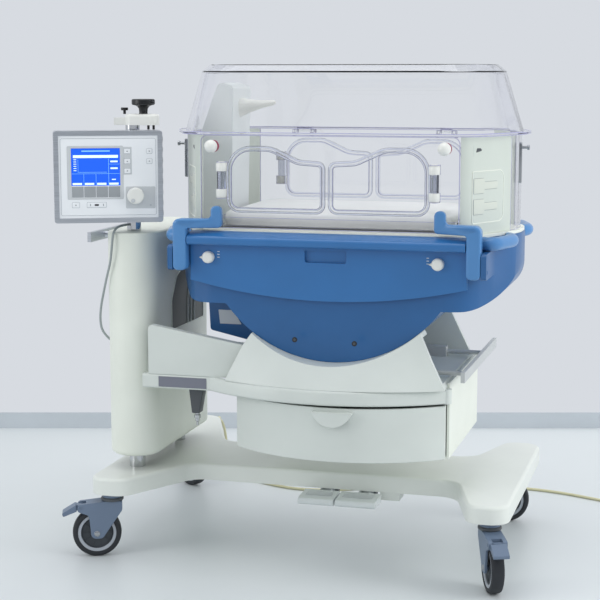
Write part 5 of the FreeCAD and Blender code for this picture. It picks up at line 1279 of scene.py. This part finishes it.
@dataclass
class Hood(SubAssembly):
    """Clear hood: walls, door with its ports, arms, latches and end panels.

    The arms are drawn once, at the thickness of their limbs; a tab keeps only a share of it.
    """

    middle: float = 0.106
    limb_inner: float = 0.347
    shelf: float = 0.056
    tab_share: float = 0.36
    shelf_slope: float = 0.0135

    def build(self) -> None:
        """Dress the hood and add rims, barrels and grommets."""
        panes = ("end_windows", "rear_wall", "door")
        for pane in panes:
            self.dress(pane, Finishes.ACRYLIC)
        for pane in panes:
            self.lines(pane)
        for node in ("port_front_left", "port_front_right", "port_rear_left", "port_rear_right"):
            self.dress(node, Finishes.ACRYLIC)
            self.port(node)
        self.dress("end_panels", Finishes.END_CREAM_SHADED, 28)
        self.arms()
        self.latches()
        self.end_details()

    def port(self, node: str) -> None:
        """Raised rim of a hand port and its hinge barrel.

        Args:
            node: name of the port's lid.
        """
        pivot = Vector(PIVOTS[node + "_swing"]["pos_m"])
        rear = "rear" in node
        face = pivot.y + (-0.007 if rear else 0.007)
        corners = [(13, 900, 14), (243, 900, 22), (243, 1044, 52), (143, 1044, 60), (73, 1012, 60), (13, 1008, 10)]
        outline = Shapes.outline(corners, 8)
        sign = -1 if "left" in node else 1
        for label, grow, radius in (("outer", 7.0, 0.0028), ("inner", -1.5, 0.0022)):
            moved = Shapes.inset(outline, -grow)
            line = [Vector((self.middle + sign * a * MM, face, b * MM)) for a, b in moved]
            self.bead("%s_rim_%s" % (node, label), line, radius, Finishes.ACRYLIC_RIM, node, 60)
        core = [(0.0, -0.021), (0.0104, -0.021), (0.0108, -0.019), (0.0108, 0.019), (0.0104, 0.021), (0.0, 0.021)]
        self.turned(node + "_barrel", core, pivot, UP, 40, Finishes.CLEAR_GREY, node)
        parent = PIVOTS[node + "_swing"]["parent"]
        for label, height in (("low", -0.033), ("high", 0.033)):
            sign_z = 1 if height > 0 else -1
            cap = [(0.0, -0.0112), (0.0128, -0.0112), (0.0132, -0.009), (0.0132, 0.006), (0.0110, 0.0105),
                   (0.005, 0.0128), (0.0, 0.0130)]
            self.turned("%s_cup_%s" % (node, label), cap, pivot + Vector((0, 0, height)), Vector((0, 0, sign_z)), 40,
                        Finishes.KNOB_WHITE, parent)

    def arms(self) -> None:
        """Blue arms with soft edges: a limb beside the tub, a shelf over its rail and a tab before the door."""
        low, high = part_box("door_arms")
        middle = (low.x + high.x) / 2
        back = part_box("door")[1].y - 0.0065
        thick = back - low.y
        shape = [(0.381, 0.748, 0.012), (0.381, 0.8755, 0.017), (0.2915, 0.8745, 0.010), (0.2915, 0.906, 0.0125),
                 (0.265, 0.906, 0.0125), (0.265, 0.852, 0.010), (0.347, 0.852, 0.007), (0.347, 0.748, 0.012)]
        for side, label in ((-1, "left"), (1, "right")):
            def place(a: float, b: float, d: float) -> Vector:
                """Front view with depth; the shelf slopes back to the tab and the limb ends short of the hood.

                Args:
                    a: distance sideways from the hood's middle.
                    b: height over the floor.
                    d: depth of the arm.

                Returns:
                    The place in metres.
                """
                share = min(1.0, max(0.0, (self.limb_inner - a) / self.shelf))
                deep = d * (1 - share) + share * d * self.tab_share
                lift = self.shelf_slope * (1 - share) * (1 - d / thick)
                return Vector((middle + side * a, back - lift - deep, b))

            arm = Shapes.prism("arm", shape, place, 0.0, thick, 0.006, 8, 0.003)
            self.add("arm_" + label, arm, Finishes.ARM_BLUE, "front_door", 40, ("door_arms",) if side > 0 else ())
            self.turned("arm_pin_" + label, [(0.0, 0.0), (0.005, 0.0), (0.005, 0.017), (0.0, 0.017)],
                        Vector((middle + side * 0.377, -0.330, 0.765)), Vector((side, 0, 0)), 32,
                        Finishes.ARM_BLUE, "front_door")

    def end_details(self) -> None:
        """Tube grommets, cable notches and latches of the hood's ends."""
        low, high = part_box("end_panels")
        middle = (low.x + high.x) / 2
        front = low.y
        for side, label in ((-1, "left"), (1, "right")):
            def face(a: float, b: float, d: float) -> Vector:
                """Place on the slanting end panel: outwards run a, height b, proud by d.

                Args:
                    a: run outwards along the panel.
                    b: height over the floor.
                    d: distance proud of it.

                Returns:
                    The place in metres.
                """
                slant = math.atan2(0.096, 0.197)
                run = Vector((math.sin(slant), math.cos(slant)))
                start = Vector((0.338, 0.004))
                out = Vector((math.cos(slant), -math.sin(slant)))
                spot = start + run * a + out * d
                return Vector((middle + side * spot.x, front + spot.y, b))

            # The grommet plate and the cable pocket are flat plates made slightly darker, as painted shade of their
            # sunk recesses.
            recess = [(0.020, 0.873, 0.004), (0.150, 0.873, 0.022), (0.150, 0.997, 0.020), (0.020, 0.997, 0.004)]
            plate = Shapes.prism("plate", recess, face, -0.001, 0.0006, 0.0004, 8)
            self.add("grommet_plate_" + label, plate, Finishes.RECESS_SHADE, "tub")
            lip = [face(a, b, 0.0004) for a, b in Shapes.outline(recess, 8)]
            self.bead("grommet_lip_" + label, lip, 0.0016, Finishes.COVER_CREAM, "tub")
            bottle = [(0.024, 0.894, 0.002), (0.066, 0.894, 0.003), (0.068, 0.903, 0.003), (0.124, 0.903, 0.006),
                      (0.124, 0.921, 0.006), (0.068, 0.921, 0.003), (0.066, 0.930, 0.003), (0.024, 0.930, 0.002)]
            slot = Shapes.prism("slot", bottle, face, 0.0, 0.0022, 0.0010, 5)
            self.row("grommets_" + label, slot, 2, Vector((0, 0, 0.050)), Finishes.GROMMET, "tub")
            rim = REPEAT.bead("rim", [face(a, b, 0.0006) for a, b in Shapes.outline(bottle, 5)], 0.0008,
                              Finishes.KEY_GREY, sides=6)
            self.row("grommet_rims_" + label, rim, 2, Vector((0, 0, 0.050)), Finishes.KEY_GREY, "tub")
            pocket = Shapes.prism("pocket", [(0.022, 1.034, 0.003), (0.076, 1.026, 0.003), (0.070, 1.060, 0.004),
                                             (0.022, 1.060, 0.003)], face, -0.001, 0.0006, 0.0, 3)
            self.add("cable_pocket_" + label, pocket, Finishes.RECESS_SHADE, "tub")
            # The dark notch shape is painted shade inside the cable notch, laid flat on the pocket.
            notch = Shapes.prism("notch", [(0.032, 1.042, 0.001), (0.058, 1.046, 0.002), (0.050, 1.052, 0.001),
                                           (0.036, 1.052, 0.001)], face, 0.0, 0.0012, 0.0, 3)
            self.add("cable_notch_shade_" + label, notch, Finishes.DARK_BRACKET_AND_SHADE, "tub")
            pane = middle + side * 0.4335
            rail = Shapes.prism("rail", Shapes.rect(-0.088, 0.960, -0.080, 1.060, 0.004), sideways(pane, side),
                                -0.001, 0.006, 0.002, 5)
            self.add("window_rail_" + label, rail, Finishes.STEEL, "tub")
            bolt = [(0.0, 0.0), (0.0035, 0.0), (0.0035, 0.018), (0.006, 0.019), (0.0062, 0.024), (0.0, 0.025)]
            self.turned("window_bolt_" + label, bolt, Vector((pane, -0.084, 1.048)), Vector((side, 0, 0)), 28,
                        Finishes.STEEL, "tub")

    def latches(self) -> None:
        """White ball latches with their red collars."""
        for name in ("latch_knob_left", "latch_knob_right"):
            pivot = Vector(PIVOTS[name + "_turn"]["pos_m"])
            centre = Vector((pivot.x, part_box(name)[0].y + 0.016, pivot.z))
            ball = [(0.0, 0.016)] + [(0.016 * math.sin(t), 0.016 * math.cos(t))
                                     for t in (math.pi * k / 20 for k in range(1, 17))]
            ball += [(0.0092, -0.0135), (0.009, -0.0195), (0.0, -0.0195)]
            self.turned(name + "_ball", ball, centre, FRONT, 64, Finishes.KNOB_WHITE, name, replaces=(name,))
            collar = [(0.0, -0.0165), (0.0144, -0.0165), (0.0150, -0.0172), (0.0150, -0.0190), (0.0, -0.0194)]
            self.turned(name + "_collar", collar, centre, FRONT, 48, Finishes.COLLAR_RED, name)


@dataclass
class Canopy(SubAssembly):
    """Clear canopy over the hood."""

    def build(self) -> None:
        """Dress the canopy."""
        self.dress("canopy", Finishes.ACRYLIC, 30)
        self.lines("canopy", 0.0008)


@dataclass
class SensorTower(SubAssembly):
    """Grey tower in the hood's left end with its cream nose."""

    def build(self) -> None:
        """Dress the tower and set its nose."""
        self.dress("sensor_module", Finishes.TOWER, 28)
        nose = [(0.0, 0.118), (0.004, 0.116), (0.007, 0.110), (0.010, 0.080), (0.017, 0.045), (0.026, 0.015),
                (0.034, 0.0), (0.0, -0.004)]
        self.turned("sensor_nose", nose, mm(-215, -30, 1140), Vector((0.94, -0.06, 0.12)), 48, Finishes.KNOB_WHITE,
                    "tub")


@dataclass
class Bed(SubAssembly):
    """Mattress in its tray."""

    def build(self) -> None:
        """Crowned mattress with a swollen cover, and its clear tray."""
        self.dress("mattress_tray", Finishes.ACRYLIC)
        self.lines("mattress_tray", 0.0005)
        low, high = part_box("mattress")
        centre = (low + high) / 2
        half = (high - low) / 2
        rings = []
        for share, grow in ((0.0, 0.95), (0.12, 0.985), (0.5, 0.994), (0.84, 0.985), (0.96, 0.965), (1.0, 0.90),
                            (1.0, 0.6), (1.0, 0.2)):
            w, d = half.x * grow, half.y * (1 - (1 - grow) * half.x / half.y)
            w, d = max(w, 0.01), max(d, 0.01)
            r = min(0.04, w * 0.5, d * 0.5)
            ring = Shapes.outline(Shapes.rect(-w, -d, w, d, r), 6)
            z = low.z + (high.z - low.z) * min(share, 1.0) - (0.002 if share < 1 else 0.0)
            rings.append([Vector((centre.x + a, centre.y + b, z)) for a, b in ring])
        pad = self.add("mattress_pad", Shapes.rings("pad", rings), Finishes.COVER_WHITE, "tub",
                       replaces=("mattress",), smooth=60)
        self.swell(pad)

    @staticmethod
    def swell(pad: Piece, cap: float = 0.004) -> None:
        """Blow the cover up a little with Cloth, then apply it.

        Args:
            pad: the cover.
            cap: farthest that a point may move.
        """
        start = pad.data
        remesh = pad.modifiers.new("remesh", "REMESH")
        remesh.mode = "VOXEL"
        remesh.voxel_size = 0.006
        form = plain_mesh(pad, "form")
        pad.modifiers.clear()
        rest = [v.co.copy() for v in form.vertices]
        pad.data = form
        bottom = min(co.z for co in rest)
        held = pad.vertex_groups.new(name="held")
        held.add([i for i, co in enumerate(rest) if co.z < bottom + 0.004], 1.0, "REPLACE")
        cloth = pad.modifiers.new("cloth", "CLOTH")
        cloth.settings.use_pressure = True
        cloth.settings.uniform_pressure_force = 4.0
        cloth.settings.effector_weights.gravity = 0.0
        cloth.settings.vertex_group_mass = "held"
        for step in range(1, 21):
            bpy.context.scene.frame_set(step)
        blown = plain_mesh(pad, "blown")
        pad.modifiers.clear()
        bpy.context.scene.frame_set(1)
        for vertex, old in zip(blown.vertices, rest):
            move = vertex.co - old
            vertex.co = old + move * min(1.0, cap / max(move.length, 1e-9))
        pad.data = blown
        smooth = pad.modifiers.new("smooth", "SUBSURF")
        smooth.levels = smooth.render_levels = 1
        final = plain_mesh(pad, "mattress_pad")
        pad.modifiers.clear()
        final.materials.clear()
        final.materials.append(start.materials[0])
        final.polygons.foreach_set("use_smooth", [True] * len(final.polygons))
        pad.data = final
        pad.vertex_groups.clear()


@dataclass
class Leads(SubAssembly):
    """Mains lead behind the trolley, wound at its end, and the monitor's lead."""

    radius: float = 0.004
    coil_radius: float = 0.045
    turns: int = 3
    steps: int = 16
    floor: tuple[Point, ...] = (
        (-0.430, 0.430, 0.190), (-0.430, 0.470, 0.190), (-0.428, 0.506, 0.160), (-0.425, 0.520, 0.110),
        (-0.418, 0.515, 0.060), (-0.395, 0.500, 0.018), (-0.350, 0.478, 0.004), (-0.290, 0.450, 0.004),
        (-0.230, 0.420, 0.004), (-0.152, 0.400, 0.004), (-0.060, 0.418, 0.004), (0.040, 0.470, 0.004),
        (0.150, 0.520, 0.004), (0.265, 0.548, 0.004), (0.380, 0.580, 0.004), (0.489, 0.592, 0.004),
        (0.600, 0.570, 0.004), (0.700, 0.525, 0.004), (0.790, 0.490, 0.004), (0.845, 0.477, 0.004),
        (0.866, 0.464, 0.004))
    column: tuple[Point, ...] = (
        (-0.437, -0.231, 0.846), (-0.449, -0.258, 0.846), (-0.455, -0.286, 0.834), (-0.457, -0.292, 0.800),
        (-0.464, -0.286, 0.755), (-0.480, -0.274, 0.715), (-0.494, -0.261, 0.676), (-0.507, -0.251, 0.636),
        (-0.513, -0.245, 0.596), (-0.508, -0.240, 0.564), (-0.491, -0.232, 0.546))

    def build(self) -> None:
        """Both leads."""
        self.mains()
        mesh = Shapes.tube("monitor_lead", [Vector(p) for p in self.column], 0.003)
        self.add("monitor_lead", mesh, Finishes.LEAD, "lift", 60, ("monitor_cable",))

    def winding(self, centre: Vector) -> list[Vector]:
        """Points of the wound length: one flat layer wound inwards, the next wound outwards on it.

        Args:
            centre: middle of the coil.

        Returns:
            Control points of the lead.
        """
        points = []
        pitch = 2 * self.radius
        start = math.radians(210)
        for layer in (0, 1):
            for k in range(self.turns * self.steps + 1):
                turned = k / self.steps
                inward = turned if layer == 0 else self.turns - turned
                spread = self.coil_radius + pitch * (self.turns / 2 - 0.5) - pitch * min(inward, self.turns - 1)
                rise = self.radius + pitch * layer if k > self.steps // 2 or layer == 0 else (
                    self.radius + pitch * 2 * k / self.steps)
                angle = start + 2 * math.pi * turned
                points.append(about(centre, angle, spread, rise))
            start += 2 * math.pi * self.turns
        return points

    def mains(self) -> None:
        """Lead with its strain relief, its wound length and its plug."""
        low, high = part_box("mains_coil")
        centre = (low + high) / 2
        plug_low, plug_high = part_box("mains_plug")
        entry = Vector((plug_low.x, (plug_low.y + plug_high.y) / 2, (plug_low.z + plug_high.z) / 2))
        wound = self.winding(centre)
        over = [(228, 0.0515, 0.0168), (248, 0.0480, 0.0200), (268, 0.0440, 0.0206), (288, 0.0395, 0.0208),
                (306, 0.0355, 0.0208), (322, 0.0325, 0.0206)]
        last = [about(centre, math.radians(turn), far, z) for turn, far, z in over]
        last += [entry + Vector((-0.0222, -0.0082, 0.0026)), entry + Vector((-0.0117, -0.0021, 0.0010)), entry]
        points = [Vector(p) for p in self.floor] + wound + last
        curve = Shapes.spline("mains_lead", points, self.radius)
        curve.data.materials.append(PAINT.material(Finishes.CORD))
        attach(curve, "base")
        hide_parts("mains_cord", "mains_coil")
        start = Vector(self.floor[0])
        relief = [(0.0, -0.002), (0.0085, -0.002), (0.0088, 0.0), (0.0080, 0.006), (0.0070, 0.018), (0.0060, 0.030),
                  (0.0052, 0.038), (0.0, 0.038)]
        sleeve = self.turned("mains_relief", relief, start, Vector((0, 1, 0)), 40, Finishes.CORD, "base")
        body = [(0.0, 0.0), (0.0062, 0.0), (0.0075, 0.004), (0.0110, 0.014), (0.0150, 0.022), (0.0168, 0.028),
                (0.0168, 0.042), (0.0155, 0.0455), (0.0, 0.0458)]
        plug = self.turned("mains_plug_body", body, entry, Vector((1, 0, 0)), 56, Finishes.CORD, "base",
                           replaces=("mains_plug",))
        pin = Shapes.lathe("pin", [(0.0, 0.0), (0.0024, 0.0), (0.0024, 0.017), (0.0014, 0.019), (0.0, 0.0192)],
                           entry + Vector((0.0450, -0.0095, 0)), Vector((1, 0, 0)), 24)
        pins = self.row("mains_plug_pins", pin, 2, Vector((0, 0.019, 0)), Finishes.STEEL, "base")
        tie = self.add("mains_tie", self.tie(centre), Finishes.BLACK, "base")
        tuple(self.floor[0])
        self.length(curve)

    def tie(self, centre: Vector) -> Mesh:
        """Strap drawn once round the wound length.

        Args:
            centre: middle of the coil.

        Returns:
            The mesh.
        """
        angle = math.radians(100)
        half, corner, thick, middle = self.radius * self.turns + 0.0002, 0.0035, 0.0012, 2 * self.radius + 0.0008
        ring = []
        for start, side, level in ((0, 1, 1), (90, -1, 1), (180, -1, -1), (270, 1, -1)):
            for k in range(5):
                turn = math.radians(start + 22.5 * k)
                far = self.coil_radius + side * (half - corner) + corner * math.cos(turn)
                ring.append((far, middle + level * (2 * self.radius - corner) + corner * math.sin(turn)))
        lift = max(0.0, thick - min(height for _, height in ring))
        return REPEAT.bead("mains_tie", [about(centre, angle, far, height + lift) for far, height in ring], thick,
                           Finishes.BLACK)

    @staticmethod
    def length(curve: Piece) -> float:
        """Length of a curve's centre line.

        Args:
            curve: the curve.

        Returns:
            Length in metres, to a millimetre.
        """
        bare = curve.data.copy()
        bare.bevel_depth = 0.0
        probe = linked("probe", bare)
        mesh = plain_mesh(probe, "probe")
        run = sum((mesh.vertices[a].co - mesh.vertices[b].co).length for a, b in (e.vertices for e in mesh.edges))
        bpy.data.objects.remove(probe)
        LOG.info("mains lead is %.3f m long", run)
        return round(run, 3)


@dataclass
class Studio:
    """Pale floor, skirting, soft lamps and the camera."""

    yaw: float = math.radians(15.5)
    pitch: float = math.radians(8.3)
    eye: Point = (1.038, -3.905, 1.225)
    lens: float = 92.7
    floor_depth: float = 1.25

    def build(self) -> None:
        """Everything that isn't part of the incubator."""
        self.camera()
        self.floor()
        self.dark_card()
        self.world()
        self.lamps()

    def camera(self) -> None:
        """Camera at the photograph's viewing angle."""
        data = bpy.data.cameras.new("camera")
        data.sensor_width = 36.0
        data.lens = self.lens
        camera = linked("camera", data)
        camera.location = self.eye
        camera.rotation_euler = (math.pi / 2 - self.pitch, 0.0, self.yaw)
        bpy.context.scene.camera = camera
        bpy.context.scene.view_settings.view_transform = "Standard"

    def floor(self) -> None:
        """Floor that ends at a low skirting, turned to face the camera."""
        turn = Matrix.Rotation(self.yaw, 4, "Z")
        slab = Shapes.prism("floor", Shapes.rect(-6.0, -6.0, 6.0, self.floor_depth),
                            lambda a, b, d: Vector((a, b, d)), -0.02, 0.0)
        slab.transform(turn)
        skirt = Shapes.prism("skirting", [(self.floor_depth, 0.0, 0), (self.floor_depth + 0.02, 0.0, 0),
                                          (self.floor_depth + 0.02, 0.052, 0), (self.floor_depth + 0.004, 0.054, 0)],
                             lambda a, b, d: Vector((d, a, b)), -6.0, 6.0)
        skirt.transform(turn)
        for name, mesh, finish in (("floor", slab, Finish("floor_resin", (214, 219, 221), roughness=0.4, tone=0.03,
                                                          patch=0.8, marks=0.02, depth=0.0)),
                                   ("skirting", skirt, Finish("skirting_white", (190, 197, 203), roughness=0.5))):
            mesh.materials.append(PAINT.material(finish))
            linked(name, mesh)

    def dark_card(self) -> None:
        """Dark card behind the camera that only shows in reflections."""
        card = Shapes.prism("dark_card", Shapes.rect(-5.0, 1.1, 5.0, 2.5), lambda a, b, d: Vector((a, d, b)),
                            -5.42, -5.4)
        card.transform(Matrix.Rotation(self.yaw, 4, "Z"))
        card.materials.append(PAINT.material(Finish("card_grey", (96, 102, 110), roughness=0.9, depth=0.0)))
        obj = linked("dark_card", card)
        for kind in ("camera", "diffuse", "transmission", "shadow"):
            setattr(obj, "visible_" + kind, False)

    def world(self) -> None:
        """Even sky that shows to the camera as a pale wall."""
        world = bpy.data.worlds.new("studio")
        bpy.context.scene.world = world
        world.use_nodes = True
        tree = world.node_tree
        tree.nodes.clear()
        sky = node(tree, "ShaderNodeBackground", {"Color": (0.93, 0.965, 1.0, 1), "Strength": 0.72})
        wall = node(tree, "ShaderNodeBackground", {"Color": display(215, 219, 225)})
        path = node(tree, "ShaderNodeLightPath").outputs
        seen = path["Is Camera Ray"]
        for ray in ("Is Glossy Ray", "Is Transmission Ray"):
            seen = node(tree, "ShaderNodeMath", {0: seen, 1: path[ray]}, operation="MAXIMUM").outputs[0]
        mix = node(tree, "ShaderNodeMixShader", {"Fac": seen, 1: sky.outputs[0], 2: wall.outputs[0]})
        node(tree, "ShaderNodeOutputWorld", {"Surface": mix.outputs[0]})

    def lamps(self) -> None:
        """Large soft lamps from above, left and right."""
        for name, place, size, power, aim in (
                ("ceiling", (-0.3, -0.2, 3.2), 2.6, 24.0, (0.0, 0.0, 0.6)),
                ("left_fill", (-3.0, -2.6, 1.8), 2.0, 30.0, (0.0, 0.0, 0.7)),
                ("right_rim", (3.2, -0.4, 1.5), 1.8, 42.0, (0.2, 0.0, 0.6)),
                ("rear_glow", (0.6, 2.6, 2.2), 2.2, 18.0, (0.1, 0.0, 0.5))):
            data = bpy.data.lights.new(name, "AREA")
            data.shape = "DISK"
            data.size = size
            data.energy = power
            lamp = linked(name, data)
            lamp.location = place
            lamp.rotation_euler = (Vector(aim) - Vector(place)).to_track_quat("-Z", "Y").to_euler()
            lamp.visible_transmission = False
            lamp.visible_glossy = name in ("ceiling", "left_fill")


def main() -> None:
    """Build every sub-assembly in order and report the pieces."""
    logging.basicConfig(level=logging.INFO, format="%(message)s")
    for group in (Studio(), Leads(), Trolley(), Casters(), Column(), Monitor(), Cradle(), Tub(), Hood(), Canopy(),
                  SensorTower(), Bed()):
        LOG.info("building %s", type(group).__name__)
        group.build()


if __name__ == "__main__":
    main()
